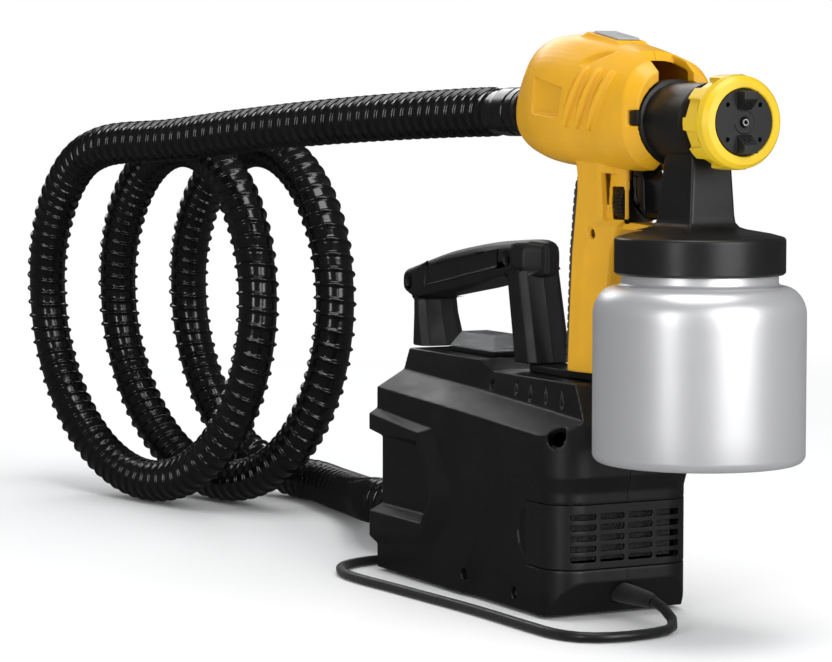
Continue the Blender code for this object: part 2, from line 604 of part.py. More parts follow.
front_body = cut(front_body, rod(3.2, 215, 280, (0, CUP_Y, 0), "z", 16))
barrel = join(barrel, common(front_body, box(-60, 60, -260, -120, 200, 290)))
barrel = cut(barrel, rod(17.5, -240, -174, ax, "y", 32))
part("front_body", barrel, "black", FRONT)

NUT = empty("ring_nut_turn", (0, -226, GUN_AXIS_Z), FRONT)
nut = turned([(20.2, -214.8), (25.6, -214.8), (26.6, -216.4), (27.0, -219), (27.0, -230), (25.4, -236.4), (23.6, -238), (18.6, -238), (18.6, -234.6), (20.2, -234.6)], ax, "y", 36, True)
for k in range(12):
    notch = box(-2.6, 2.6, -232, -212, GUN_AXIS_Z + 25.6, GUN_AXIS_Z + 30)
    nut = cut(nut, tilted(notch, 30 * k + 15, "Y", (0, 0, GUN_AXIS_Z)))
part("ring_nut", nut, "lemon", NUT)
CAP = empty("air_cap_turn", (0, -236, GUN_AXIS_Z), NUT)
cap = turned([(2.2, -231.6), (19.8, -231.6), (19.8, -234.2), (18.2, -234.3), (18.2, -237.4), (2.2, -237.4)], ax, "y", 40, True)
for s in (-1, 1):
    horn = frustum([(-4.6, GUN_AXIS_Z + s * 6.6), (4.6, GUN_AXIS_Z + s * 6.6), (4.6, GUN_AXIS_Z + s * 17.2), (-4.6, GUN_AXIS_Z + s * 17.2)],
                   [(-4.2, GUN_AXIS_Z + s * 12.0), (4.2, GUN_AXIS_Z + s * 12.0), (4.2, GUN_AXIS_Z + s * 16.6), (-4.2, GUN_AXIS_Z + s * 16.6)], "y", -236.8, -243.4)
    cap = join(cap, horn)
for sx in (-1, 1):
    for sz in (-1, 1):
        cap = cut(cap, rod(1.1, -250, -225, (sx * 10.5, 0, GUN_AXIS_Z + sz * 9.5), "y", 10))
part("air_cap", cap, "black", CAP)
nozzle = turned([(1.2, -239.2), (1.9, -239.2), (1.9, -231.0), (8.0, -228), (8.0, -218), (5.0, -214), (5.0, -196), (2.6, -196), (2.6, -226), (1.2, -231)], ax, "y", 24, True)
part("fluid_nozzle", nozzle, "brass", FRONT)
web = turned([(5.4, -213.6), (16.9, -213.6), (16.9, -209), (5.4, -209)], ax, "y", 32, True)
for k in range(6):
    web = cut(web, tilted(rod(2.4, -220, -200, (0, 0, GUN_AXIS_Z + 11.2), "y", 10), 60 * k, "Y", (0, 0, GUN_AXIS_Z)))
part("air_distributor", web, "white", FRONT)
NEEDLE = empty("needle_slide", (0, -190, GUN_AXIS_Z), FRONT)
needle = turned([(0, -238.4), (0.7, -236.5), (0.95, -229), (1.6, -226), (1.6, -176), (4.2, -176), (4.2, -173), (1.6, -173), (1.6, -146), (3.4, -146), (3.4, -143), (0, -143)], ax, "y", 16)
part("fluid_needle", needle, "steel", NEEDLE)
part("needle_packing", tube(2.0, 4.8, -195.6, -188.4, ax, "y", 20), "white", FRONT)
part("needle_guide", cut(rod(16.9, -188.0, -184.4, ax, "y", 28), rod(1.9, -200, -170, ax, "y", 16)), "black", FRONT)
spring = tube(2.2, 4.0, -184.0, -176.4, ax, "y", 16)
part("needle_spring", spring, "steel", FRONT)

CUP = empty("cup_unscrew", (0, CUP_Y, 210), FRONT)
cup = turned([(0, 101), (56.5, 101), (59.0, 102.4), (60, 105.5), (60, 184), (59.0, 189.4), (56.2, 194.4), (52.0, 198.4), (47.2, 200.8), (44.2, 202.0), (44.2, 219.6), (42.9, 219.6),
              (42.9, 201.4), (46.4, 199.8), (51.0, 197.4), (55.2, 193.4), (57.8, 188.8), (58.8, 184), (58.8, 106.5), (57.8, 103.6), (55.8, 102.3), (0, 102.3)], (0, CUP_Y, 0), "z", 40)
part("paint_cup", cup, "alu", CUP)
part("cup_gasket", tube(41.5, 45.0, 219.9, 221.9, (0, CUP_Y, 0), "z", 40), "rubber", FRONT)
pickup = tube(2.1, 2.9, 106, 240, (0, CUP_Y, 0), "z", 14)
part("pickup_tube", pickup, "white", FRONT)

# ---- trigger, its pin and the flow knob -------------------------------------
TRIG_PIVOT = (0.0, -134.0, 266.5)
TRIG = empty("trigger_pull", TRIG_PIVOT, GUN)
trig = prism([(-131.8, 262), (-131.4, 270.6), (-137, 270.8), (-141.5, 265), (-144.6, 258), (-145.4, 249), (-146.4, 241), (-149.4, 236.4), (-146, 235.9), (-139, 237.4),
              (-135.4, 240.6), (-133.2, 246)], "x", -7.2, 7.2)
trig = cut(trig, rod(1.9, -20, 20, (0, TRIG_PIVOT[1], TRIG_PIVOT[2]), "x", 16))
part("trigger", trig, "black", TRIG)
part("trigger_pin", rod(1.6, -8.2, 8.2, (0, TRIG_PIVOT[1], TRIG_PIVOT[2]), "x", 12), "steel", GUN)
KNOB = empty("flow_knob_turn", (0, -124, KNOB_Z), GUN)
knob = rod(13.6, -128.6, -119.4, (0, 0, KNOB_Z), "y", 24, 0.8)
part("flow_knob", knob, "black", KNOB)
part("release_tab", box(-27.6, -24.8, -170.4, -162.2, 290.6, 298.2), "black", GUN)

# ---- flexible lines ----------------------------------------------------------
LOOP_TOP = (-83.5, 506.7)
LOOP_STEP = (51.06, -23.62)     # the loops' spacing per turn
LOOP_TURN = 0.156               # radians that the loops' plane is turned from Y


def loop_point(deg):
    a = math.radians(deg)
    tx, ty = -math.sin(LOOP_TURN), math.cos(LOOP_TURN)
    k = a / (2 * math.pi)
    return (LOOP_TOP[0] + LOOP_STEP[0] * k + LOOP_R * math.sin(a) * tx,
            LOOP_TOP[1] + LOOP_STEP[1] * k + LOOP_R * math.sin(a) * ty,
            HOSE_R + 0.3 + LOOP_R + LOOP_R * math.cos(a))


hose_route = [(0, 32.2, INLET_Z), (-1.5, 66, 297.8), (-11, 155, 295.2), (-28, 255, 290.5), (-46, 345, 284.5), (-64, 430, 277.5)]
hose_route += [loop_point(d) for d in range(6, 871, 24)]
hose_route += [(50, 472, HOSE_R + 1.2), (55, 430, HOSE_R + 0.4), (50, 388, HOSE_R + 0.4), (42, 342, 17.6), (26, 288, 21.5), (5, 236, 28), (-9, 198, 33), (px, 172, 35), (px, 149.6, 35)]
HOSE_LENGTH = flexible("air_hose", hose_route, 60, HOSE_R, "gloss", 3)

lead_route = [(0, -147.4, 14.4), (0.8, -155, 12.2), (1.5, -164, 7.2), (-4, -173.5, 3.7), (-15, -180, 3.3), (-30, -183.5, 3.3), (-49, -183, 3.3), (-65, -175, 3.3),
              (-72.5, -158, 3.3), (-74, -132, 3.3), (-75.5, -67, 3.3), (-79, -17, 3.3), (-82.5, 31, 3.3), (-85.6, 68, 3.3), (-84, 96, 3.3),
              (-73, 119, 3.3), (-52, 131, 3.3), (-18, 134, 3.3), (22, 138, 3.3), (62, 148, 3.3), (COIL_C[0] - 22.8, 151, 3.3)]
LEAD_LENGTH = flexible("power_cord", lead_route, 44, CORD_R, "rubber", 2)
coil = turned([(COIL_MEAN_R - 9, 0.3), (COIL_MEAN_R + 9, 0.3), (COIL_MEAN_R + 9, 12.3), (COIL_MEAN_R - 9, 12.3)], (COIL_C[0], COIL_C[1], 0), "z", 40, True)
part("cord_coil", coil, "rubber", ROOT)
hx, hy = COIL_C[0] - 22.8, COIL_C[1] + 39
plug = loft([[(hx, hy + a, 7 + b) for a, b in ((-3.6, -3.6), (3.6, -3.6), (3.6, 3.6), (-3.6, 3.6))],
             [(hx - 14, hy + a, 7 + b) for a, b in ((-4.4, -4.4), (4.4, -4.4), (4.4, 4.4), (-4.4, 4.4))],
             [(hx - 16, hy + a, 7 + b) for a, b in ((-8, -6.6), (8, -6.6), (8, 6.6), (-8, 6.6))],
             [(hx - 36, hy + a, 7 + b) for a, b in ((-11, -6.6), (11, -6.6), (11, 6.6), (-11, 6.6))],
             [(hx - 40, hy + a, 7 + b) for a, b in ((-11, -6.6), (11, -6.6), (11, 6.6), (-11, 6.6))]])
part("mains_plug", plug, "rubber", ROOT)
for i, dy in enumerate((-7, 7)):
    part(f"plug_pin_{i + 1}", box(hx - 56.5, hx - 40.3, hy + dy - 0.8, hy + dy + 0.8, 4, 10), "steel", ROOT)
print("hose mm", round(HOSE_LENGTH, 1), "lead mm", round(LEAD_LENGTH, 1))
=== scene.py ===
"""Visual scene of the HVLP paint sprayer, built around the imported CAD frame.
Shapes are written in the design's millimetres (X across, -Y to the front, +Z up)
and moved into the row frame, which is the same with Y shifted by 55.5 mm."""
import bpy
import bmesh
import math
from mathutils import Matrix, Vector


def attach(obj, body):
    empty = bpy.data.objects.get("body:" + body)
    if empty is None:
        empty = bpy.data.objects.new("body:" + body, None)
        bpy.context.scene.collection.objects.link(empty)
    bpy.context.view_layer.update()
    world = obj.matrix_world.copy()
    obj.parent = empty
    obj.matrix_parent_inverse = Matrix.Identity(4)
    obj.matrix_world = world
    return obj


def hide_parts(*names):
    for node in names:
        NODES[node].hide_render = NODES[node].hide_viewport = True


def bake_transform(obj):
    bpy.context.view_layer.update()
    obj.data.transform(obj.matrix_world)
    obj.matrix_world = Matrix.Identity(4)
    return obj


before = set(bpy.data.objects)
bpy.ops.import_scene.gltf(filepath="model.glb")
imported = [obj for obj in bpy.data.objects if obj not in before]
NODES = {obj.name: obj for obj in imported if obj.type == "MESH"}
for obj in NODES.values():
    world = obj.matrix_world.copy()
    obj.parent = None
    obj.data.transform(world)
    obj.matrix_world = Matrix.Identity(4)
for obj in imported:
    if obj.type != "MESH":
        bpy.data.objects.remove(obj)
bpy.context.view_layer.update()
MM = 0.001
OY = 55.5
GAP = 0.15                      # half of the gap at the parting plane
DONE = set()                    # CAD nodes that a new piece stands for

# ------------------------------------------------------------------ materials


def start(name):
    m = bpy.data.materials.new(name)
    m.use_nodes = True
    nt = m.node_tree
    b = nt.nodes["Principled BSDF"]
    tc = nt.nodes.new("ShaderNodeTexCoord")
    return m, nt, b, tc.outputs["Object"]


def noise(nt, vec, scale, detail=2.0, rough=0.5, stretch=None, offset=(0, 0, 0)):
    if stretch is not None:
        mp = nt.nodes.new("ShaderNodeMapping")
        mp.inputs["Scale"].default_value = stretch
        mp.inputs["Location"].default_value = offset
        nt.links.new(vec, mp.inputs["Vector"])
        vec = mp.outputs["Vector"]
    n = nt.nodes.new("ShaderNodeTexNoise")
    n.inputs["Scale"].default_value = scale
    n.inputs["Detail"].default_value = detail
    n.inputs["Roughness"].default_value = rough
    nt.links.new(vec, n.inputs["Vector"])
    return n.outputs["Fac"]


def ranged(nt, fac, lo, hi, a=0.3, b=0.7):
    r = nt.nodes.new("ShaderNodeMapRange")
    r.inputs["From Min"].default_value = a
    r.inputs["From Max"].default_value = b
    r.inputs["To Min"].default_value = lo
    r.inputs["To Max"].default_value = hi
    nt.links.new(fac, r.inputs["Value"])
    return r.outputs["Result"]


def mixed(nt, fac, one, two):
    mx = nt.nodes.new("ShaderNodeMix")
    mx.data_type = "RGBA"
    nt.links.new(fac, mx.inputs["Factor"])
    for k, c in ((6, one), (7, two)):
        if isinstance(c, tuple):
            mx.inputs[k].default_value = (*c, 1.0)
        else:
            nt.links.new(c, mx.inputs[k])
    return mx.outputs[2]


def bump(nt, b, height, strength, distance, under=None):
    bp = nt.nodes.new("ShaderNodeBump")
    bp.inputs["Strength"].default_value = strength
    bp.inputs["Distance"].default_value = distance
    nt.links.new(height, bp.inputs["Height"])
    if under is not None:
        nt.links.new(under, bp.inputs["Normal"])
    nt.links.new(bp.outputs["Normal"], b.inputs["Normal"])
    return bp.outputs["Normal"]


def moulded_plastic(name, colour, rough, spread=0.06, tint=0.1, grain=2200.0, depth=0.00004,
                    strength=0.35, wear=0.0, coat=0.0, specular=0.5, sub=0.0):
    """Injection-moulded plastic: spark-eroded grain, faint flow marks, handled edges."""
    m, nt, b, obj = start(name)
    flow = noise(nt, obj, 34.0, 3.0, 0.55)
    dark = tuple(c * (1 - tint) for c in colour)
    light = tuple(min(1.0, c * (1 + tint)) for c in colour)
    base = mixed(nt, ranged(nt, flow, 0.0, 1.0), dark, light)
    if wear > 0:
        geo = nt.nodes.new("ShaderNodeNewGeometry")
        edge = ranged(nt, geo.outputs["Pointiness"], 0.0, wear, 0.515, 0.6)
        scuff = nt.nodes.new("ShaderNodeMath")
        scuff.operation = "MULTIPLY"
        nt.links.new(edge, scuff.inputs[0])
        nt.links.new(ranged(nt, noise(nt, obj, 160.0, 4.0, 0.65), 0.2, 1.0), scuff.inputs[1])
        worn = tuple(min(1.0, c * 1.5 + 0.03) for c in colour)
        base = mixed(nt, scuff.outputs[0], base, worn)
    nt.links.new(base, b.inputs["Base Color"])
    smear = noise(nt, obj, 75.0, 4.0, 0.6, stretch=(1.0, 0.45, 1.6))
    nt.links.new(ranged(nt, smear, rough - spread, rough + spread), b.inputs["Roughness"])
    fine = noise(nt, obj, grain, 2.0, 0.6)
    bump(nt, b, fine, strength, depth)
    b.inputs["Specular IOR Level"].default_value = specular
    b.inputs["Coat Weight"].default_value = coat
    b.inputs["Coat Roughness"].default_value = 0.16
    if sub:
        b.inputs["Subsurface Weight"].default_value = sub
        b.inputs["Subsurface Radius"].default_value = (0.0012, 0.0006, 0.0002)
        b.inputs["Subsurface Scale"].default_value = 1.0
    return m


def metal(name, colour, rough, stretch, scale=900.0, spread=0.06, depth=0.00001, aniso=0.0, stain=0.12, metallic=1.0):
    """Machined or spun metal, with its tool marks drawn out across `stretch`."""
    m, nt, b, obj = start(name)
    cloud = noise(nt, obj, 26.0, 4.0, 0.6)
    base = mixed(nt, ranged(nt, cloud, 0.0, 1.0), tuple(c * (1 - stain) for c in colour), colour)
    nt.links.new(base, b.inputs["Base Color"])
    b.inputs["Metallic"].default_value = metallic
    lines = noise(nt, obj, scale, 3.0, 0.7, stretch=stretch)
    patch = noise(nt, obj, 60.0, 3.0, 0.6)
    add = nt.nodes.new("ShaderNodeMath")
    add.operation = "ADD"
    nt.links.new(ranged(nt, lines, -spread, spread), add.inputs[0])
    nt.links.new(ranged(nt, patch, rough - spread / 2, rough + spread / 2), add.inputs[1])
    nt.links.new(add.outputs[0], b.inputs["Roughness"])
    bump(nt, b, lines, 0.3, depth)
    b.inputs["Anisotropic"].default_value = aniso
    return m


def soft_rubber(name, colour, rough, grain=1500.0):
    m, nt, b, obj = start(name)
    dust = noise(nt, obj, 90.0, 5.0, 0.65)
    base = mixed(nt, ranged(nt, dust, 0.0, 1.0, 0.45, 0.8), colour, tuple(c * 1.9 + 0.004 for c in colour))
    nt.links.new(base, b.inputs["Base Color"])
    nt.links.new(ranged(nt, noise(nt, obj, 210.0, 3.0), rough - 0.08, rough + 0.08), b.inputs["Roughness"])
    bump(nt, b, noise(nt, obj, grain, 3.0, 0.6), 0.4, 0.00006)
    b.inputs["Sheen Weight"].default_value = 0.12
    return m


def foam_material():
    m, nt, b, obj = start("open_foam")
    v = nt.nodes.new("ShaderNodeTexVoronoi")
    v.inputs["Scale"].default_value = 900.0
    nt.links.new(obj, v.inputs["Vector"])
    # the pore centres, which the bump below sinks, are painted darker: painted shade in the pores
    nt.links.new(mixed(nt, v.outputs["Distance"], (0.006, 0.006, 0.007), (0.05, 0.05, 0.054)), b.inputs["Base Color"])
    nt.links.new(ranged(nt, noise(nt, obj, 400.0), 0.85, 1.0), b.inputs["Roughness"])
    bump(nt, b, v.outputs["Distance"], 1.0, 0.0006)
    return m


def clear_plastic():
    m, nt, b, obj = start("clear_boot")
    haze = noise(nt, obj, 60.0, 3.0)
    nt.links.new(mixed(nt, ranged(nt, haze, 0.0, 1.0), (0.86, 0.88, 0.9), (0.95, 0.96, 0.97)), b.inputs["Base Color"])
    nt.links.new(ranged(nt, haze, 0.06, 0.16), b.inputs["Roughness"])
    b.inputs["Transmission Weight"].default_value = 0.82
    b.inputs["IOR"].default_value = 1.46
    bump(nt, b, noise(nt, obj, 320.0, 2.0), 0.12, 0.0001)
    return m


MAT = {
    "black": moulded_plastic("satin_black_plastic", (0.0072, 0.0072, 0.0076), 0.40, 0.05, 0.16, 2400.0, 0.00004, 0.4, wear=0.12),
    "handle": moulded_plastic("handle_black_plastic", (0.0085, 0.0085, 0.009), 0.42, 0.05, 0.14, 1700.0, 0.00005, 0.45, wear=0.12),
    "front": moulded_plastic("front_black_plastic", (0.0095, 0.0095, 0.01), 0.37, 0.05, 0.14, 2600.0, 0.00003, 0.35, wear=0.1),
    "gloss": moulded_plastic("gloss_black_plastic", (0.005, 0.005, 0.0053), 0.20, 0.05, 0.2, 900.0, 0.00002, 0.15),
    "hose": moulded_plastic("hose_pvc", (0.004, 0.004, 0.0043), 0.17, 0.05, 0.25, 700.0, 0.00003, 0.18, coat=0.3),
    "yellow": moulded_plastic("mustard_plastic", (0.76, 0.388, 0.012), 0.34, 0.05, 0.045, 2300.0, 0.00003, 0.35, specular=0.45),
    "lemon": moulded_plastic("lemon_plastic", (0.70, 0.47, 0.015), 0.33, 0.05, 0.05, 2300.0, 0.00003, 0.3),
    "rubber": soft_rubber("black_rubber", (0.006, 0.006, 0.0062), 0.62),
    "cord": soft_rubber("cord_jacket", (0.005, 0.005, 0.0052), 0.36, 2600.0),
    "steel": metal("zinc_steel", (0.56, 0.56, 0.55), 0.32, (1.0, 1.0, 1.0), 1400.0),
    "cup": metal("spun_aluminium", (0.76, 0.76, 0.775), 0.36, (0.0006, 0.0006, 1.0), 2600.0, 0.02, 0.000003, 0.3, 0.03, 0.66),
    "fan": metal("cast_aluminium", (0.60, 0.60, 0.61), 0.42, (1.0, 1.0, 1.0), 500.0, 0.1, 0.00003),
    "brass": metal("turned_brass", (0.66, 0.47, 0.20), 0.26, (0.05, 1.0, 0.05), 1800.0),
    "grey": moulded_plastic("grey_plate", (0.36, 0.37, 0.38), 0.34, 0.05, 0.06, 1800.0, 0.00002, 0.2, specular=0.6),
    "nylon": moulded_plastic("natural_nylon", (0.70, 0.69, 0.64), 0.45, 0.06, 0.05, 900.0, 0.00003, 0.25),
    "clear": clear_plastic(),
    "foam": foam_material(),
}

# ----------------------------------------------------------- mesh helpers (mm)


def fresh(points, faces):
    bm = bmesh.new()
    vs = [bm.verts.new(p) for p in points]
    for f in faces:
        bm.faces.new([vs[i] for i in f])
    bmesh.ops.remove_doubles(bm, verts=bm.verts, dist=1e-5)
    bmesh.ops.recalc_face_normals(bm, faces=bm.faces)
    return bm


def loft(rings, closed=False):
    n, m = len(rings[0]), len(rings)
    pts = [tuple(p) for r in rings for p in r]
    faces = []
    for j in range(m if closed else m - 1):
        a, b = j * n, ((j + 1) % m) * n
        faces += [[a + i, a + (i + 1) % n, b + (i + 1) % n, b + i] for i in range(n)]
    if not closed:
        faces += [list(range(n))[::-1], [(m - 1) * n + i for i in range(n)]]
    return fresh(pts, faces)


def placed(axis, a, b, c):
    return {"x": (c, a, b), "y": (a, c, b), "z": (a, b, c)}[axis]


def frustum(lo_poly, hi_poly, axis, lo, hi):
    return loft([[placed(axis, a, b, lo) for a, b in lo_poly], [placed(axis, a, b, hi) for a, b in hi_poly]])


def prism(poly, axis, lo, hi):
    return frustum(poly, poly, axis, lo, hi)


def box(x0, x1, y0, y1, z0, z1):
    return prism([(x0, y0), (x1, y0), (x1, y1), (x0, y1)], "z", z0, z1)


def turned(profile, centre, axis="z", segs=96, closed=False):
    cx, cy, cz = centre
    bm = bmesh.new()
    rows = []
    for i in range(segs):
        a = 2 * math.pi * i / segs
        ca, sa = math.cos(a), math.sin(a)
        ring = []
        for r, h in profile:
            if axis == "z":
                ring.append((cx + r * ca, cy + r * sa, cz + h))
            elif axis == "y":
                ring.append((cx + r * ca, cy + h, cz + r * sa))
            else:
                ring.append((cx + h, cy + r * ca, cz + r * sa))
        rows.append([bm.verts.new(p) for p in ring])
    n = len(profile)
    for i in range(segs):
        a, b = rows[i], rows[(i + 1) % segs]
        for j in range(n if closed else n - 1):
            k = (j + 1) % n
            bm.faces.new([a[j], b[j], b[k], a[k]])
    bmesh.ops.remove_doubles(bm, verts=bm.verts, dist=1e-4)
    bmesh.ops.dissolve_degenerate(bm, edges=bm.edges, dist=1e-5)
    bmesh.ops.recalc_face_normals(bm, faces=bm.faces)
    return bm


def filleted(profile, radii, steps=5, closed=False):
    """Rounds the corners of a (radius, height) profile."""
    n = len(profile)
    out = []
    for i, p in enumerate(profile):
        r = radii.get(i, 0.0) if isinstance(radii, dict) else radii
        if (not closed and i in (0, n - 1)) or r <= 0:
            out.append(p)
            continue
        q = Vector(p)
        a, b = Vector(profile[i - 1]), Vector(profile[(i + 1) % n])
        u, v = (a - q), (b - q)
        lu, lv = u.length, v.length
        u.normalize()
        v.normalize()
        ang = u.angle(v)
        if ang > math.radians(176) or ang < math.radians(4):
            out.append(p)
            continue
        d = min(r / math.tan(ang / 2), 0.48 * lu, 0.48 * lv)
        s, e = q + u * d, q + v * d
        for k in range(steps + 1):
            t = k / steps
            w = s * (1 - t) ** 2 + q * 2 * t * (1 - t) + e * t ** 2
            out.append((w.x, w.y))
    return out


def rod(r, h0, h1, centre, axis="z", segs=32, bevel=0.0):
    p = [(0, h0), (r - bevel, h0), (r, h0 + bevel), (r, h1 - bevel), (r - bevel, h1), (0, h1)]
    if bevel == 0:
        p = [(0, h0), (r, h0), (r, h1), (0, h1)]
    return turned(p, centre, axis, segs)


def moved(bm, matrix):
    bmesh.ops.transform(bm, matrix=matrix, verts=bm.verts)
    return bm


def tilted(bm, deg, axis, pivot):
    p = Vector(pivot)
    return moved(bm, Matrix.Translation(p) @ Matrix.Rotation(math.radians(deg), 4, axis) @ Matrix.Translation(-p))


def aimed(bm, at, direction):
    """Turns a shape built about the origin along +Z so that it points along direction, at a place."""
    q = Vector(direction).normalized().to_track_quat("Z", "Y")
    return moved(bm, Matrix.Translation(Vector(at)) @ q.to_matrix().to_4x4())


def ellipsoid(at, size, direction=(0, 0, 1), up=None, segs=24):
    """A stretched ball: size is (across, across, along), along direction."""
    bm = bmesh.new()
    bmesh.ops.create_uvsphere(bm, u_segments=segs, v_segments=segs, radius=1.0)
    bmesh.ops.scale(bm, vec=size, verts=bm.verts)
    d = Vector(direction).normalized()
    u = Vector(up if up is not None else (1, 0, 0))
    u = (u - d * u.dot(d)).normalized()
    w = d.cross(u)
    m = Matrix((u, w, d)).transposed().to_4x4()
    return moved(bm, Matrix.Translation(Vector(at)) @ m)


def as_object(bm, name="scratch"):
    me = bpy.data.meshes.new(name)
    bm.to_mesh(me)
    o = bpy.data.objects.new(name, me)
    bpy.context.scene.collection.objects.link(o)
    return o


def evaluated(o):
    graph = bpy.context.evaluated_depsgraph_get()
    me = bpy.data.meshes.new_from_object(o.evaluated_get(graph), depsgraph=graph)
    out = bmesh.new()
    out.from_mesh(me)
    bpy.data.objects.remove(o, do_unlink=True)
    bpy.data.meshes.remove(me)
    return out


def combine(base, other, operation):
    before = base.calc_volume()
    for solver in ("EXACT", "MANIFOLD"):
        a, b = as_object(base), as_object(other)
        mod = a.modifiers.new("b", "BOOLEAN")
        mod.operation = operation
        mod.object = b
        mod.solver = solver
        out = evaluated(a)
        bmesh.ops.remove_doubles(out, verts=out.verts, dist=2e-4)
        bpy.data.objects.remove(b, do_unlink=True)
        if operation == "INTERSECT" or out.calc_volume() > 0.03 * before:
            return out
    raise RuntimeError("a Boolean lost its shape")


def cut(base, *others):
    for o in others:
        base = combine(base, o, "DIFFERENCE")
    return base


def join(base, *others):
    for o in others:
        base = combine(base, o, "UNION")
    return base


def common(base, other):
    return combine(base, other, "INTERSECT")


def rounded(bm, width, segs=2, angle=24, clamp=False):
    """Merges flat faces, then rounds the sharp edges."""
    bmesh.ops.dissolve_limit(bm, angle_limit=math.radians(0.5), verts=bm.verts, edges=bm.edges)
    bmesh.ops.dissolve_degenerate(bm, edges=bm.edges, dist=0.02)
    o = as_object(bm)
    b = o.modifiers.new("bevel", "BEVEL")
    b.limit_method = "ANGLE"
    b.angle_limit = math.radians(angle)
    b.width = width
    b.segments = segs
    b.use_clamp_overlap = clamp
    b.miter_outer = "MITER_ARC"
    out = evaluated(o)
    bmesh.ops.remove_doubles(out, verts=out.verts, dist=1e-3)
    return out


def moulded(bm, voxel, rounds=4, keep=0.4):
    """Rounds every edge of a moulding alike, by a fine voxel skin that is then relaxed and thinned."""
    bmesh.ops.triangulate(bm, faces=bm.faces)
    o = as_object(bm)
    r = o.modifiers.new("skin", "REMESH")
    r.mode = "VOXEL"
    r.voxel_size = voxel
    s = o.modifiers.new("relax", "SMOOTH")
    s.factor = 0.5
    s.iterations = rounds
    if keep < 1:
        d = o.modifiers.new("thin", "DECIMATE")
        d.ratio = keep
    return evaluated(o)


def halved(bm, side):
    """The part of a shape on one side of the parting plane, closed again along the cut."""
    geom = list(bm.verts) + list(bm.edges) + list(bm.faces)
    out = bmesh.ops.bisect_plane(bm, geom=geom, dist=1e-5, plane_co=(side * GAP, 0, 0), plane_no=(side, 0, 0), clear_inner=True)
    edges = [e for e in out["geom_cut"] if isinstance(e, bmesh.types.BMEdge) and e.is_boundary]
    bmesh.ops.triangle_fill(bm, edges=edges, use_beauty=True, use_dissolve=False, normal=(-side, 0, 0))
    return bm


def near(node):
    """A CAD node's mesh as a bmesh in design millimetres."""
    bm = bmesh.new()
    bm.from_mesh(NODES[node].data)
    bmesh.ops.scale(bm, vec=(1 / MM,) * 3, verts=bm.verts)
    bmesh.ops.translate(bm, vec=(0, -OY, 0), verts=bm.verts)
    bmesh.ops.remove_doubles(bm, verts=bm.verts, dist=1e-3)
    bmesh.ops.recalc_face_normals(bm, faces=bm.faces)
    return bm


def piece(name, bm, mat, body, stands_for=(), smooth=35, weighted=True):
    for v in bm.verts:
        v.co = Vector((v.co.x * MM, (v.co.y + OY) * MM, v.co.z * MM))
    bmesh.ops.recalc_face_normals(bm, faces=bm.faces)
    o = as_object(bm, name)
    o.data.materials.append(MAT[mat])
    o.data.shade_smooth()
    o.data.set_sharp_from_angle(angle=math.radians(smooth))
    if weighted:
        w = o.modifiers.new("normals", "WEIGHTED_NORMAL")
        w.keep_sharp = True
    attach(o, body)
    if stands_for:
        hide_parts(*stands_for)
        DONE.update(stands_for)
    return o


def interpolated(rows, key, steps):
    """Catmull-Rom through rows of numbers, with `steps` rows to each span."""
    out = []
    p = [rows[0]] + list(rows) + [rows[-1]]
    for i in range(1, len(p) - 2):
        for k in range(steps):
            t = k / steps
            out.append(tuple(
                0.5 * (2 * b + (c - a) * t + (2 * a - 5 * b + 4 * c - d) * t * t + (3 * b - a - 3 * c + d) * t ** 3)
                for a, b, c, d in zip(p[i - 1], p[i], p[i + 1], p[i + 2])))
    out.append(tuple(rows[-1]))
    return out


def smooth_path(route, count, dense_steps=24):
    p = [Vector(q) for q in route]
    p = [p[0] * 2 - p[1]] + p + [p[-1] * 2 - p[-2]]
    dense = []
    for i in range(1, len(p) - 2):
        p0, p1, p2, p3 = p[i - 1:i + 3]
        t1 = (p1 - p0).length ** 0.5
        t2 = t1 + (p2 - p1).length ** 0.5
        t3 = t2 + (p3 - p2).length ** 0.5
        for k in range(dense_steps):
            t = t1 + (t2 - t1) * k / dense_steps
            a1 = p0 * ((t1 - t) / t1) + p1 * (t / t1)
            a2 = p1 * ((t2 - t) / (t2 - t1)) + p2 * ((t - t1) / (t2 - t1))
            a3 = p2 * ((t3 - t) / (t3 - t2)) + p3 * ((t - t2) / (t3 - t2))
            b1 = a1 * ((t2 - t) / t2) + a2 * (t / t2)
            b2 = a2 * ((t3 - t) / (t3 - t1)) + a3 * ((t - t1) / (t3 - t1))
            dense.append(b1 * ((t2 - t) / (t2 - t1)) + b2 * ((t - t1) / (t2 - t1)))
    dense.append(p[-2])
    run = [0.0]
    for a, b in zip(dense, dense[1:]):
        run.append(run[-1] + (b - a).length)
    out, j = [], 0
    for i in range(count):
        s = run[-1] * i / (count - 1)
        while j < len(run) - 2 and run[j + 1] < s:
            j += 1
        f = (s - run[j]) / max(run[j + 1] - run[j], 1e-9)
        out.append(dense[j].lerp(dense[j + 1], min(max(f, 0), 1)))
    return out, run[-1]


def row_frame(p):
    return (p[0] * MM, (p[1] + OY) * MM, p[2] * MM)


# --------------------------------------------------------------------- camera

PITCH = math.atan((331 - 115) / 2900)
cam_data = bpy.data.cameras.new("photo_camera")
cam_data.sensor_width = 36.0
cam_data.lens = 36.0 * 2900 / 832
cam_data.clip_end = 50
cam = bpy.data.objects.new("photo_camera", cam_data)
cam.location = (-0.880, -1.570 + OY * MM, 0.296)
cam.rotation_euler = (math.pi / 2 - PITCH, 0, math.radians(-27))
bpy.context.scene.collection.objects.link(cam)
bpy.context.scene.camera = cam

# ------------------------------------------------------------- the ribbed hose

HOSE_R = 16.0
INLET_Z = 298.0
LOOP_TOP = (-83.5, 506.7)
LOOP_STEP = (51.06, -23.62)
LOOP_TURN = 0.156
LOOP_R = 128.0


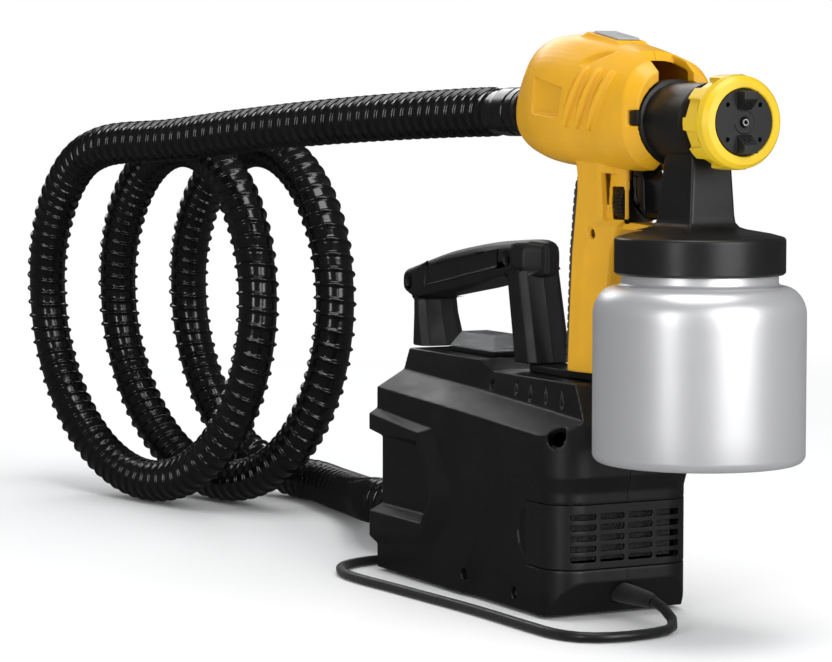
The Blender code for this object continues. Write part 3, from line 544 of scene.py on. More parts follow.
def loop_point(deg):
    a = math.radians(deg)
    tx, ty = -math.sin(LOOP_TURN), math.cos(LOOP_TURN)
    k = a / (2 * math.pi)
    return (LOOP_TOP[0] + LOOP_STEP[0] * k + LOOP_R * math.sin(a) * tx,
            LOOP_TOP[1] + LOOP_STEP[1] * k + LOOP_R * math.sin(a) * ty,
            HOSE_R + 0.3 + LOOP_R + LOOP_R * math.cos(a))


hose_route = [(0, 32.2, INLET_Z), (-1.5, 66, 297.8), (-11, 155, 295.2), (-28, 255, 290.5), (-46, 345, 284.5), (-64, 430, 277.5)]
hose_route += [loop_point(d) for d in range(6, 871, 24)]
hose_route += [(50, 472, HOSE_R + 1.2), (55, 430, HOSE_R + 0.4), (50, 388, HOSE_R + 0.4), (42, 342, 17.6), (26, 288, 21.5), (5, 236, 28), (-9, 198, 33), (-12, 172, 35), (-12, 149.6, 35)]


def ribbed_hose(route, pitch=10.4, around=30):
    """A smooth tube wound with a round bead, meshed along the bead's own helix."""
    _, length = smooth_path(route, 60)
    turns = round(length / pitch)
    fine = 4 * turns
    pts, length = smooth_path(route, fine + 1)
    pitch = length / turns
    tangent = [(pts[min(i + 1, fine)] - pts[max(i - 1, 0)]).normalized() for i in range(fine + 1)]
    side = tangent[0].cross(Vector((0, 0, 1))).normalized()
    sides = []
    for t in tangent:
        side = (side - t * side.dot(t)).normalized()
        sides.append(side.copy())
    half = 1.95 / pitch
    bead = [(half * c, 0.5 * (1 + math.cos(math.pi * c)) if abs(c) < 1 else 0.0) for c in (-1.15, -0.9, -0.6, -0.3, 0.0, 0.3, 0.6, 0.9, 1.15)]
    rest = [(half * 1.15 + (1 - 2.3 * half) * k / 4, 0.0) for k in (1, 2, 3)]
    marks = bead + rest
    bm = bmesh.new()
    rows = []
    for turn in range(-1, turns + 1):
        for at, lift in marks:
            ring = []
            for k in range(around):
                u = turn + 0.5 + at + k / around
                s = min(max(u * pitch, 0.0), length)
                f = s / length * fine
                i = min(int(f), fine - 1)
                f -= i
                c = pts[i].lerp(pts[i + 1], f)
                t = tangent[i].lerp(tangent[i + 1], f).normalized()
                x = sides[i].lerp(sides[i + 1], f)
                x = (x - t * x.dot(t)).normalized()
                a = 2 * math.pi * k / around
                edge = min(1.0, min(s, length - s) / (1.5 * pitch))
                r = 13.95 + 2.0 * (lift ** 0.72) * edge
                ring.append(bm.verts.new(c + x * (r * math.cos(a)) + x.cross(t) * (r * math.sin(a))))
            rows.append(ring)
    n = len(marks)
    for i in range(len(rows) - 1):
        for k in range(around):
            if k < around - 1:
                bm.faces.new([rows[i][k], rows[i][k + 1], rows[i + 1][k + 1], rows[i + 1][k]])
            elif i + n + 1 < len(rows):
                bm.faces.new([rows[i + n][k - around + 1], rows[i + n + 1][k - around + 1], rows[i + 1][k], rows[i][k]][::-1])
    bmesh.ops.remove_doubles(bm, verts=bm.verts, dist=0.02)
    bmesh.ops.dissolve_degenerate(bm, edges=bm.edges, dist=0.01)
    loose = [v for v in bm.verts if not v.link_faces]
    bmesh.ops.delete(bm, geom=loose, context="VERTS")
    bmesh.ops.holes_fill(bm, edges=[e for e in bm.edges if e.is_boundary], sides=200)
    return bm, pts[::4], length


hose_bm, hose_path, HOSE_LENGTH = ribbed_hose(hose_route)
for v in hose_bm.verts:
    v.co = Vector(row_frame(v.co))
bmesh.ops.recalc_face_normals(hose_bm, faces=hose_bm.faces)
hose = as_object(hose_bm, "ribbed_hose")
hose.data.materials.append(MAT["hose"])
hose.data.shade_smooth()
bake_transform(hose)
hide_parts("air_hose")
DONE.add("air_hose")

# ---------------------------------------------------------------- mains lead

COIL = (120.0, 190.0)
lead_route = [(0, -147.4, 14.4), (0.8, -155, 12.2), (1.5, -164, 7.2), (-4, -173.5, 3.7), (-15, -180, 3.3), (-30, -183.5, 3.3), (-49, -183, 3.3), (-65, -175, 3.3),
              (-72.5, -158, 3.3), (-74, -132, 3.3), (-75.5, -67, 3.3), (-79, -17, 3.3), (-82.5, 31, 3.3), (-85.6, 68, 3.3), (-84, 96, 3.3),
              (-73, 119, 3.3), (-52, 131, 3.3), (-18, 134, 3.3), (22, 138, 3.3), (62, 148, 3.3), (97.2, 151, 3.3)]
shown, _ = smooth_path(lead_route, 60)
wound = []
TURN_STEPS = 48
for i in range(int(5.5 * TURN_STEPS) + 1):
    u = i / TURN_STEPS
    k, w = int(u), u - int(u)
    s = min(max((w - 0.5) / 0.5, 0.0), 1.0)
    s = s * s * (3 - 2 * s)
    if k < 2:
        r, z = 39 - 6 * k - 6 * s, 3.3
    elif k == 2:
        dip = math.sqrt(max(36 - 36 * s * s, 0.0)) - 6 * (1 - s)
        r, z = 27 - dip, 3.3 + 6.0 * s
    else:
        r, z = 27 + 6 * (k - 3) + 6 * s, 9.3
    if k == 5:
        r = 39.0
    a = -math.pi / 2 + 2 * math.pi * u
    wound.append(Vector((COIL[0] + r * math.cos(a), COIL[1] + r * math.sin(a), z)))
PLUG_X, PLUG_Y = 97.2, 229.0
tail = [Vector((112, 229, 8.9)), Vector((104, 229, 8.0)), Vector((PLUG_X - 1.0, PLUG_Y, 7.2))]
lead_points = list(shown) + [Vector((108.5, 151, 3.3))] + wound + tail
cu = bpy.data.curves.new("mains_cord", "CURVE")
cu.dimensions = "3D"
sp = cu.splines.new("POLY")
sp.points.add(len(lead_points) - 1)
for i, (q, v) in enumerate(zip(sp.points, lead_points)):
    q.co = (*row_frame(v), 1)
cu.bevel_depth = 0.003
cu.bevel_resolution = 5
cu.use_fill_caps = True
cu.materials.append(MAT["cord"])
cord = bpy.data.objects.new("mains_cord", cu)
bpy.context.scene.collection.objects.link(cord)
for s in cu.splines:
    s.use_smooth = True
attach(cord, "base")
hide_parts("power_cord", "cord_coil")
DONE.update({"power_cord", "cord_coil"})

# plug: a moulded body with finger grips and its own short relief
hx, hy, hz = PLUG_X, PLUG_Y, 7.0


def plug_section(x, hw, hh, n=24, sq=4.0):
    out = []
    for i in range(n):
        a = 2 * math.pi * (i + 0.5) / n
        c, s = math.cos(a), math.sin(a)
        k = (abs(c) ** sq + abs(s) ** sq) ** (-1 / sq)
        out.append((x, hy + hw * c * k, hz + hh * s * k))
    return out


plug_rows = []
for x, w, h in ((0, 3.6, 3.6), (-2, 3.9, 3.9), (-14, 4.6, 4.6), (-15.6, 6.6, 5.6), (-17, 8.2, 6.2), (-20, 9.0, 6.4), (-22, 8.4, 6.0), (-24, 9.4, 6.5), (-26, 8.8, 6.1),
                (-28, 9.9, 6.6), (-30, 9.3, 6.2), (-33, 10.9, 6.6), (-39, 11.0, 6.6), (-40, 10.2, 5.8)):
    plug_rows.append(plug_section(hx + x, w, h))
plug = piece("plug_body", rounded(loft(plug_rows), 0.4, 2, 40), "rubber", "base", ("mains_plug",), smooth=50)
for i, dy in enumerate((-7, 7)):
    p = box(hx - 56.5, hx - 39.9, hy + dy - 0.8, hy + dy + 0.8, 4, 10)
    p = cut(p, rod(1.6, -3, 3, (hx - 51.5, hy + dy, 7), "y", 20))
    piece(f"plug_blade_{i + 1}", rounded(p, 0.35, 2), "steel", "base", (f"plug_pin_{i + 1}",))

# ------------------------------------------------------------ the base's shell

BW, BR, BF = 50.5, 114.0, -120.5
LW, LF = 48.0, -117.0
DECK, FDECK, FOOT = 144.6, 138.5, 2.0
WIN = (30.3, 68.8)


def plan_outline(half_w, front, rear, corner, n=16):
    pts = [(-half_w, rear), (-half_w, front + corner)]
    for i in range(1, n):
        a = math.pi / 2 * i / n
        pts.append((-half_w + corner * (1 - math.cos(a)), front + corner * (1 - math.sin(a))))
    pts.append((-half_w + corner, front))
    return pts + [(-x, y) for x, y in reversed(pts)]


def roof_sections(t):
    rows = []
    for y, zs, zf, zd in ((BR - t, 120, 131, DECK), (15, 115.3, 126.5, DECK), (-2, 114.5, 125.5, FDECK), (-80, 110, 121, FDECK), (BF - 2 + t, 107.6, 118, FDECK)):
        w = BW - t
        half = [(-w, FOOT + t), (-w, zs - 0.6 * t), (-31 + 0.9 * t, zf - 0.8 * t), (-27 + t, zd - t)]
        row = half + [(-x, z) for x, z in reversed(half)]
        rows.append([(x, y, z) for x, z in row])
    return rows


def housing(t):
    upper = loft(roof_sections(t))
    plan = prism(plan_outline(BW - t, BF + t, BR - t, 25 - t / 2), "z", FOOT + t, 200)
    side = prism([(BR - t, FOOT + t), (BR - t, 200), (-101, 200), (-101, FDECK - t), (BF + t, 115 - t), (BF + t, FOOT + t)], "x", -80, 80)
    return common(common(upper, plan), side)


def rounded_rect(a0, a1, b0, b1, r, n=4):
    out = []
    for cx, cy, s in ((a1 - r, b1 - r, 0), (a0 + r, b1 - r, 90), (a0 + r, b0 + r, 180), (a1 - r, b0 + r, 270)):
        for i in range(n + 1):
            t = math.radians(s + 90 * i / n)
            out.append((cx + r * math.cos(t), cy + r * math.sin(t)))
    return out


body = housing(0.0)
for s in (-1, 1):
    outer_edge = [(-46, 82), (9.4, FOOT - 4), (-140, FOOT - 4), (-140, 84.6), (-60, 84.6)]
    inner_edge = [(-60, 70.5), (-13, FOOT - 4), (-140, FOOT - 4), (-140, 76), (-64, 76)]
    body = cut(body, frustum(inner_edge, outer_edge, "x", LW * s, (BW + 0.6) * s))
body = cut(body, cut(box(-70, 70, -140, BF + 26, -6, 76), prism(plan_outline(LW, LF, 0, 20), "z", -8, 90)))
body = cut(body, cut(box(-70, 70, -140, BF + 30, 75.9, 84.6),
                     loft([[(x, y, 75.8) for x, y in plan_outline(LW, LF, 0, 20)],
                           [(x, y, 84.7) for x, y in plan_outline(BW + 0.05, BF - 0.05, 0, 25)]])))
body = cut(body, prism([(-98, FOOT - 3), (-102, FOOT), (-117.2, 22.6), (-124, 22.6), (-124, FOOT - 3)], "x", -70, 70))
for s in (-1, 1):
    foot = [(113.9, 108), (29.4, 102), (2.5, 62), (25.2, 28.7), (113.9, 15)]
    crest = [(113.9, 103), (44.8, 96.5), (22.6, 59.7), (37.8, 34.5), (113.9, 23)]
    body = join(body, frustum(foot, crest, "x", s * 48.0, s * 56.5))
    body = cut(body, frustum([(118, 88), (54, 86), (37, 59.7), (46, 44), (118, 44)],
                             [(118, 93), (47, 92), (28, 59.7), (41, 39.5), (118, 39.5)], "x", s * 46.8, s * 56.6))
# outer details: slanted vents under the front deck, screw seats, finger dip at the cover
for s in (-1, 1):
    for (y0, z0), (y1, z1) in (((-33.4, 134.4), (-34.8, 127.2)), ((-50.5, 135.4), (-53.0, 124.6)), ((-68.5, 136.0), (-71.9, 124.4)), ((-87.3, 135.4), (-91.1, 123.4))):
        body = cut(body, frustum([(y0 - 1.3, z0), (y0 + 1.3, z0), (y1 + 1.5, z1), (y1 - 1.5, z1)],
                                 [(y0 - 2.2, z0 + 0.6), (y0 + 2.2, z0 + 0.6), (y1 + 2.4, z1 - 0.6), (y1 - 2.4, z1 - 0.6)], "x", s * 27.0, s * 34))
    body = cut(body, rod(2.8, 26.5, 36, (0, -4.2, 129.9), "x", 20) if s > 0 else rod(2.8, -36, -26.5, (0, -4.2, 129.9), "x", 20))
    well = aimed(rod(5.8, -4, 12, (0, 0, 0), "z", 36), (s * 41.3, -107.4, 105.4), (s * 0.42, -0.42, 0.80))
    body = cut(body, well)
    dip = [(-82, 64.0), (-76.5, 62.0), (-71.5, 56.0), (-69.6, 49.5), (-71.5, 42.5), (-76.5, 36.0), (-82, 33.5)]
    dip2 = [(y + (1.2 if y > -80 else 0), 49.5 + (z - 49.5) * 1.08) for y, z in dip]
    body = cut(body, frustum(dip, dip2, "x", s * 46.4, s * 49.5))
    for y, z in ((-6.0, 14.0), (-66.0, 11.0)):
        lo, hi = (44.0, 60) if s > 0 else (-60, -44.0)
        body = cut(body, rod(3.6, lo, hi, (0, y, z), "x", 24))
hollow = housing(3.4)
hollow = common(hollow, prism(plan_outline(42.6, -111.4, 110.6, 17), "z", FOOT + 3, 141.2))
hollow = cut(hollow, prism([(-90, 0), (-96, 5), (-113, 28), (-130, 28), (-130, 0)], "x", -70, 70))
body = cut(body, hollow)
body = cut(body, rod(14.6, 104, 120, (-12.0, 0, 35.0), "y", 48))
body = cut(body, rod(6.6, -120, -90, (0, 0, 14.5), "y", 32))
body = cut(body, box(-12.0, 12.0, 52 - 26, 52 + 26, 130, 150))
body = cut(body, box(-36, 36, -130, -100, WIN[0] + 4, WIN[1] - 4))
body = cut(body, cut(box(-60, 60, -130, -80, WIN[0], WIN[1]), prism(plan_outline(LW - 2.6, LF + 2.6, 0, 17.6), "z", 0, 100)))
# rear: ribs of the exhaust grille
for k in range(6):
    body = cut(body, box(14.0, 38.0, 110.0, 116.0, 52.0 + 7.0 * k, 55.2 + 7.0 * k))
body = moulded(body, 0.8, 3, 0.13)
piece("base_shell_left", halved(body.copy(), -1), "black", "base", ("body_shell_left",))
piece("base_shell_right", halved(body, 1), "black", "base", ("body_shell_right",))

# ------------------------------------------------------------ carrying handle


def bar_section(y, w, top, bottom, n=28):
    """Flat sides, a crowned top and a rounded underside."""
    out = []
    cz, hz = (top + bottom) / 2, (top - bottom) / 2
    for i in range(n):
        a = 2 * math.pi * (i + 0.5) / n
        c, s = math.cos(a), math.sin(a)
        sq = 3.4 if s > 0 else 4.2
        k = (abs(c) ** sq + abs(s) ** sq) ** (-1 / sq)
        out.append((w * c * k, y, cz + hz * s * k))
    return out


bar_rows = [(-20.5, 3.0, 217, 197.5), (-13, 13.0, 218.8, 196.6), (-5, 17.0, 219.2, 197.2), (25, 17.0, 217, 191.5), (55, 17.0, 213.5, 186),
            (85, 17.0, 208.8, 181.5), (112, 17.0, 203, 177.5), (130, 17.0, 198.8, 174.6), (142.7, 17.0, 195.6, 178.5)]
bar = loft([bar_section(*r) for r in bar_rows[:3] + interpolated(bar_rows[2:], 0, 4)[1:]])


def post_section(rear, front, w, z):
    return [(-w, rear, z), (-w, front + 6, z), (-w * 0.66, front + 1.2, z), (0, front, z), (w * 0.66, front + 1.2, z), (w, front + 6, z), (w, rear, z)]


front_post = loft([post_section(-7.0, -29.3, 15.5, FDECK + 5.3), post_section(5.0, -15.0, 15.0, 201)])
rear_post = loft([post_section(128.8, 111.8, 17.0, DECK + 0.3), post_section(130.5, 119.0, 15.4, 166), post_section(131.5, 121.5, 15.0, 180)])
handle = join(bar, front_post, rear_post)
for s in (-1, 1):
    # long inset grip panel on each side of the bar
    panel = [(12, 213.0), (12, 201.5), (112, 184.5), (112, 198.5)]
    inner = [(13, 212.0), (13, 202.5), (111, 185.5), (111, 197.5)]
    handle = cut(handle, frustum(inner, panel, "x", s * 16.3, s * 18))
for y, z in ((1.0, 207.5), (134.5, 187.0)):
    handle = cut(handle, rod(2.9, -40, -8, (0, y, z), "x", 24))
    handle = cut(handle, rod(4.2, -40, -16.0, (0, y, z), "x", 24))
handle = rounded(handle, 1.3, 3, 26)
piece("handle_half_left", halved(handle.copy(), -1), "handle", "base", ("handle_left",))
piece("handle_half_right", halved(handle, 1), "handle", "base", ("handle_right",))


def screw(name, body_name, node, x0, x1, y, z, r):
    """Pan-head screw with a cross recess, lying along X."""
    head = turned(filleted([(0, x0), (r, x0), (r, x1), (0, x1)], {1: 0.7}), (0, y, z), "x", 32)
    s = box(x0 - 1, x0 + 0.9, y - 0.45, y + 0.45, z - 1.7, z + 1.7)
    t = box(x0 - 1, x0 + 0.9, y - 1.7, y + 1.7, z - 0.45, z + 0.45)
    return piece(name, cut(head, s, t), "steel", body_name, (node,))


for i, (y, z) in enumerate(((1.0, 207.5), (134.5, 187.0))):
    screw(f"handle_screw_head_{i + 1}", "base", f"handle_screw_{i + 1}", -12.0, -8.3, y, z, 2.5)
for i, (y, z) in enumerate(((-6.0, 14.0), (-66.0, 11.0))):
    screw(f"body_screw_head_{i + 1}", "base", f"body_screw_{i + 1}", -46.0, -43.2, y, z, 2.7)
screw("gun_screw_head", "gun", "gun_screw", -13.6, -11.4, -101.0, 226.5, 2.5)

# ------------------------------------------------- filter cover, dock, switch

cover = cut(prism(plan_outline(LW, LF, -80.4, 20, 16), "z", WIN[0] + 0.35, WIN[1] - 0.35),
            prism(plan_outline(LW - 2.2, LF + 2.2, 0, 17.8, 16), "z", 0, 100))
for col in range(4):
    for row in range(5):
        x0 = -37.6 + col * 19.2
        z0 = 34.6 + row * 6.25
        cover = cut(cover, prism(rounded_rect(x0, x0 + 16.6, z0, z0 + 3.5, 1.2), "y", -130, -100))
piece("vent_cover", rounded(cover, 0.35, 2, 30), "black", "filter_cover", ("filter_cover",))


def refined(new_name, node, mat, body_name, width, segs=2, angle=28, extra=()):
    bm = near(node)
    for c in extra:
        bm = cut(bm, c)
    return piece(new_name, rounded(bm, width, segs, angle), mat, body_name, (node,))


refined("dock_plate", "gun_dock", "black", "base", 0.8)
refined("switch_bezel", "switch_frame", "black", "base", 0.4)
refined("rocker", "rocker_switch", "gloss", "rocker", 0.5,
        extra=[box(-6, 6, 62.0, 62.8, 146.2, 152), box(-6, 6, 65.0, 65.8, 146.4, 152)])
refined("switch_cover", "switch_boot", "clear", "base", 0.35)
relief_profile = [(0, -92), (8.2, -92), (8.2, -95), (6.2, -95.2), (6.2, -112), (6.0, -114)]
relief_profile += [(5.9, -118), (5.6, -126), (5.0, -136), (4.3, -143)]
relief_profile += [(3.9, -144.6), (3.7, -146), (0, -146)]
piece("cord_relief", turned(relief_profile, (0, 0, 14.5), "y", 40), "rubber", "base", ("strain_relief",), smooth=30)
socket = turned(filleted([(11.4, 99.5), (13.8, 99.5), (13.8, 113.0), (14.2, 114.4), (17.2, 114.4), (17.2, 119.5), (11.4, 119.5)], 0.5, 3, True), (-12, 0, 35), "y", 64, True)
piece("outlet_collar", socket, "black", "base", ("outlet_socket",))
cuff = filleted([(12.0, 119.9), (15.6, 119.9), (16.4, 122), (16.4, 129), (15.5, 129.8), (15.5, 133.2), (16.4, 134), (16.4, 143), (15.6, 147.6), (12.0, 147.6)], 0.5, 3, True)
piece("hose_end_base", turned(cuff, (-12, 0, 35), "y", 72, True), "gloss", "base", ("hose_cuff_base",))

# ------------------------------------------------------------------- the gun

AZ = 292.0
HEAD = [(-4, 12.6, 283.0, 309.0), (-8, 15.0, 279.5, 315.0), (-14, 17.4, 276.0, 322.5), (-22, 20.2, 273.0, 330.0), (-33, 23.8, 270.4, 338.5), (-46, 27.6, 268.0, 342.6),
        (-62, 30.4, 266.2, 344.0), (-82, 31.5, 265.0, 343.0), (-104, 31.5, 264.4, 340.2), (-124, 31.2, 263.8, 336.8), (-143, 30.9, 263.4, 332.6), (-158.5, 30.4, 264.0, 328.4), (-160.5, 29.6, 265.0, 327.2), (-168, 25.6, 269.4, 322.0)]
HEAD_FINE = interpolated(HEAD[:12], 0, 4) + HEAD[12:]


def egg(y, half_w, z_low, z_high, n=72, square=2.6):
    cz, hz = (z_low + z_high) / 2, (z_high - z_low) / 2
    out = []
    for i in range(n):
        a = 2 * math.pi * (i + 0.5) / n
        c, s = math.cos(a), math.sin(a)
        k = (abs(c) ** square + abs(s) ** square) ** (-1 / square)
        out.append((half_w * c * k, y, cz + hz * s * k))
    return out


def gun_head(t):
    rows = []
    for y, w, a, b in HEAD_FINE:
        shift = -t if y > -10 else (t if y < -165 else 0)
        rows.append(egg(y + shift, w - t, a + t, b - t))
    return loft(rows)


def skin(y, z):
    """Half width of the gun's head at a place on its side."""
    rows = HEAD_FINE
    for a, b in zip(rows, rows[1:]):
        if b[0] <= y <= a[0]:
            f = (a[0] - y) / (a[0] - b[0])
            _, w, lo, hi = (p + (q - p) * f for p, q in zip(a, b))
            u = min(abs(z - (lo + hi) / 2) / ((hi - lo) / 2), 0.999)
            return w * (1 - u ** 2.6) ** (1 / 2.6)
    return 25.0


GRIP = [(280, -82, -133, 19, 12), (262, -86, -132, 18.4, 11.6), (252, -85, -131.5, 17.8, 11.4), (236, -81.5, -131, 17.2, 11.4), (231, -80.5, -122, 17, 11.6),
        (216, -77.2, -114, 16.6, 12), (190, -75, -111, 16.6, 12.4), (165, -73.6, -109, 16.8, 12.8), (144.0, -73, -107.5, 17.2, 13)]


def grip_sections(t):
    rows = []
    for z, rear, front, w, fw in GRIP:
        if z < 150 and t:
            z -= 2
        f, r, w, fw = front + t, rear - t, w - t, fw - t
        half = [(-fw + 3.4, f), (-fw + 1.0, f + 1.0), (-fw, f + 3.4), (-w + 0.8, f + 17), (-w, f + 21), (-w, r - 3.0), (-w + 0.9, r - 0.9), (-w + 3, r)]
        row = half + [(-x, y) for x, y in reversed(half)]
        rows.append([(x, y, z) for x, y in row])
    return loft(rows)


LEAN = 10.0
gun = join(gun_head(0), common(grip_sections(0), box(-60, 60, -200, 50, 100, 278)))
seat = tilted(frustum([(-15, -70), (15, -70), (12.5, -139), (-12.5, -139)], [(-9.6, -84), (9.6, -84), (9.6, -119), (-9.6, -119)], "z", 334.5, 345.0), LEAN, "X", (0, -84, 345.0))
gun = join(gun, seat)
gun = cut(gun, loft([[(-11.5, -190, z), (11.5, -190, z), (11.5, yy, z), (-11.5, yy, z)] for z, yy in ((296, -148.5), (322.6, -148.5), (323.4, -147.6), (345, -137.0))]))
gun = join(gun, prism([(-118, 229.4), (-149.5, 229.9), (-151, 231.4), (-149.5, 233.0), (-118, 234.5)], "x", -7.5, 7.5))
for s in (-1, 1):
    # three raised ribs, a scooped slash above them, and an inset panel behind
    for y0, z0, y1, z1 in ((-97.6, 291.0, -116.5, 322.0), (-111.6, 290.5, -129.5, 320.5), (-125.6, 290.5, -143.0, 318.6)):
        ym, zm = (y0 + y1) / 2, (z0 + z1) / 2
        xa, xb, xm = skin(y0, z0), skin(y1, z1), skin(ym, zm)
        gun = cut(gun, ellipsoid((s * (xm + 1.4), ym + 5.6, zm), (4.6, 3.4, 19.0), (s * (xb - xa), y1 - y0, z1 - z0), (s, 0, 0.1)))
        gun = join(gun, ellipsoid((s * (xm - 1.0), ym, zm), (4.6, 3.3, 20.5), (s * (xb - xa), y1 - y0, z1 - z0), (s, 0, 0.1)))
    ya, za, yb, zb = -100.5, 324.5, -132.0, 334.0
    xm = skin((ya + yb) / 2, (za + zb) / 2)
    gun = cut(gun, ellipsoid((s * (xm + 1.6), (ya + yb) / 2, (za + zb) / 2 + 0.4), (4.4, 3.4, 19.0), (s * (skin(yb, zb) - skin(ya, za)), yb - ya, zb - za), (s * 0.8, 0, 0.6)))
    inset = [(-55.0, 318.0), (-91.0, 311.0), (-86.5, 295.5), (-51.5, 297.6)]
    wide = [(-54.2, 319.2), (-92.2, 312.0), (-87.2, 294.5), (-50.4, 296.6)]
    gun = cut(gun, frustum(inset, wide, "x", s * 27.4, s * 32.0))
    gun = cut(gun, prism([(-30.0, 338.5), (-33.6, 338.5), (-37.0, 322.5), (-33.8, 320.5)], "x", s * 20.5, s * 34))
    # shallow panel on the grip's side, beside the trigger
    gun = cut(gun, frustum([(-114.5, 262.0), (-128.8, 262.0), (-128.8, 235.5), (-114.5, 234.5)], [(-113.6, 263.0), (-129.8, 263.0), (-129.8, 234.5), (-113.6, 233.5)], "x", s * 12.6, s * 22))
gun = cut(gun, common(gun_head(5.0), box(-28, 28, -161, -9.0, 200, 336)))
gun = cut(gun, common(grip_sections(2.8), box(-60, 60, -200, 50, 100, 279)))
gun = cut(gun, rod(25.2, -200, -155, (0, 0, AZ + 0.6), "y", 96))
gun = cut(gun, rod(13.8, -30, 30, (0, 0, INLET_Z), "y", 64))
gun = cut(gun, box(-8.4, 8.4, -190, -122.3, 256.2, 274.7))
gun = cut(gun, box(-8.4, 8.4, -170, -129.5, 234.0, 262))
gun = cut(gun, box(-30, 30, -129.4, -118.6, 235.5, 254.5))
gun = cut(gun, rod(14.0, -129.4, -118.6, (0, 0, 245.0), "y", 64))
gun = cut(gun, box(-34, -24.4, -174, -161.6, 290.0, 298.8))
gun = cut(gun, rod(2.9, -40, -11, (0, -101.0, 226.5), "x", 32))
gun = cut(gun, rod(4.0, -40, -15.6, (0, -101.0, 226.5), "x", 32))
gun = moulded(gun, 0.6, 2, 0.32)
piece("gun_half_left", halved(gun.copy(), -1), "yellow", "gun", ("gun_shell_left",), smooth=50)
piece("gun_half_right", halved(gun, 1), "yellow", "gun", ("gun_shell_right",), smooth=50)

plate = frustum([(-7.6, -88), (7.6, -88), (7.6, -116.5), (-7.6, -116.5)], [(-7.0, -88.6), (7.0, -88.6), (7.0, -115.9), (-7.0, -115.9)], "z", 345.5, 346.6)
piece("gun_badge", rounded(tilted(moved(plate, Matrix.Translation((0, 0, -0.2))), LEAN, "X", (0, -84, 345.0)), 0.2, 2), "grey", "gun", ("label_plate",))

# rear grip strip with moulded ribs
strip_ref = [(149, -73, 10.5, 14.6), (165, -73.6, 10.6, 14.4), (190, -75, 11, 14.2), (216, -77.2, 12, 14.2), (231, -80.5, 13, 14.4), (236, -81.5, 13.4, 14.6), (252, -85, 14, 15), (259, -85.6, 12, 14.5)]


def strip_at(z):
    for a, b in zip(strip_ref, strip_ref[1:]):
        if a[0] <= z <= b[0]:
            f = (z - a[0]) / (b[0] - a[0])
            return tuple(p + (q - p) * f for p, q in zip(a, b))
    return strip_ref[-1]


rows = []
z = 149.0
while z < 259.001:
    _, rear, depth, w = strip_at(z)
    ph = ((z - 149.0) / 5.0) % 1.0
    d = depth if ph < 0.66 else depth - 1.5
    half = [(-w, rear + 0.35), (-w + 0.3, rear + 0.3 * d), (-w + 1.6, rear + 0.62 * d), (-w + 3.6, rear + 0.85 * d), (-w + 6.2, rear + 0.97 * d), (-w + 9.6, rear + d)]
    rows.append([(x, yy, z) for x, yy in half + [(-x, yy) for x, yy in reversed(half)]])
    z += 0.5
piece("grip_rubber", loft(rows), "rubber", "gun", ("grip_strip",), smooth=40, weighted=False)

inlet = turned(filleted([(10.6, -16), (13.4, -16), (13.4, -3.4), (15.2, -3.4), (15.2, 1), (10.6, 1)], 0.4, 3, True), (0, 0, INLET_Z), "y", 64, True)
piece("inlet_collar", inlet, "black", "gun", ("air_inlet",))
gcuff = filleted([(12.0, 1.4), (14.8, 1.4), (15.2, 3.2), (15.2, 9.0), (14.5, 9.6), (14.5, 12.4), (15.2, 13.0), (15.2, 27), (14.9, 30.4), (12.0, 31)], 0.4, 3, True)
piece("hose_end_gun", turned(gcuff, (0, 0, INLET_Z), "y", 72, True), "gloss", "gun", ("hose_cuff_gun",))

# ----------------------------------------------------- barrel, neck, lid, cup

CUP_Y = -193.7
ax = (0, 0, AZ)
barrel = turned(filleted([(17.5, -212), (19.6, -212), (19.6, -206), (22.0, -205), (22.0, -168), (24.2, -167.5), (24.2, -160), (20.0, -160), (20.0, -168), (17.5, -172)], 0.4, 3, True), ax, "y", 96, True)


def neck_ring(hw, y0, y1, z, r=2.2):
    return [(x, yy, z) for x, yy in rounded_rect(-hw, hw, y0, y1, r, 4)]


neck = loft([neck_ring(12.4, -203, -177, 277.0), neck_ring(13.2, -206, -175, 270.0), neck_ring(15.0, -207.2, -171.6, 240.0), neck_ring(15.6, -207.6, -170.6, 236.0),
             neck_ring(17.2, -209.4, -168.9, 233.6), neck_ring(20.5, -212.6, -165.6, 232.2), neck_ring(24.0, -216.0, -162.2, 231.2)])
lid = turned(filleted([(0, 232.5), (21, 233.0), (40, 229.8), (48.2, 227.6), (48.2, 208.2), (46.9, 206.9), (45.4, 206.9), (45.4, 222.6), (0, 223.6)],
                      {2: 3.0, 3: 2.6, 4: 0.6, 5: 0.6}, 6), (0, CUP_Y, 0), "z", 128)
front_body = join(neck, lid)
front_body = cut(front_body, rod(19.5, -240, -150, ax, "y", 96))
front_body = cut(front_body, rod(3.2, 215, 280, (0, CUP_Y, 0), "z", 24))
barrel = join(barrel, common(front_body, box(-60, 60, -260, -120, 200, 290)))
barrel = cut(barrel, rod(17.5, -240, -174, ax, "y", 96))
piece("front_housing", rounded(barrel, 0.3, 2, 34), "front", "front_end", ("front_body",), smooth=40)

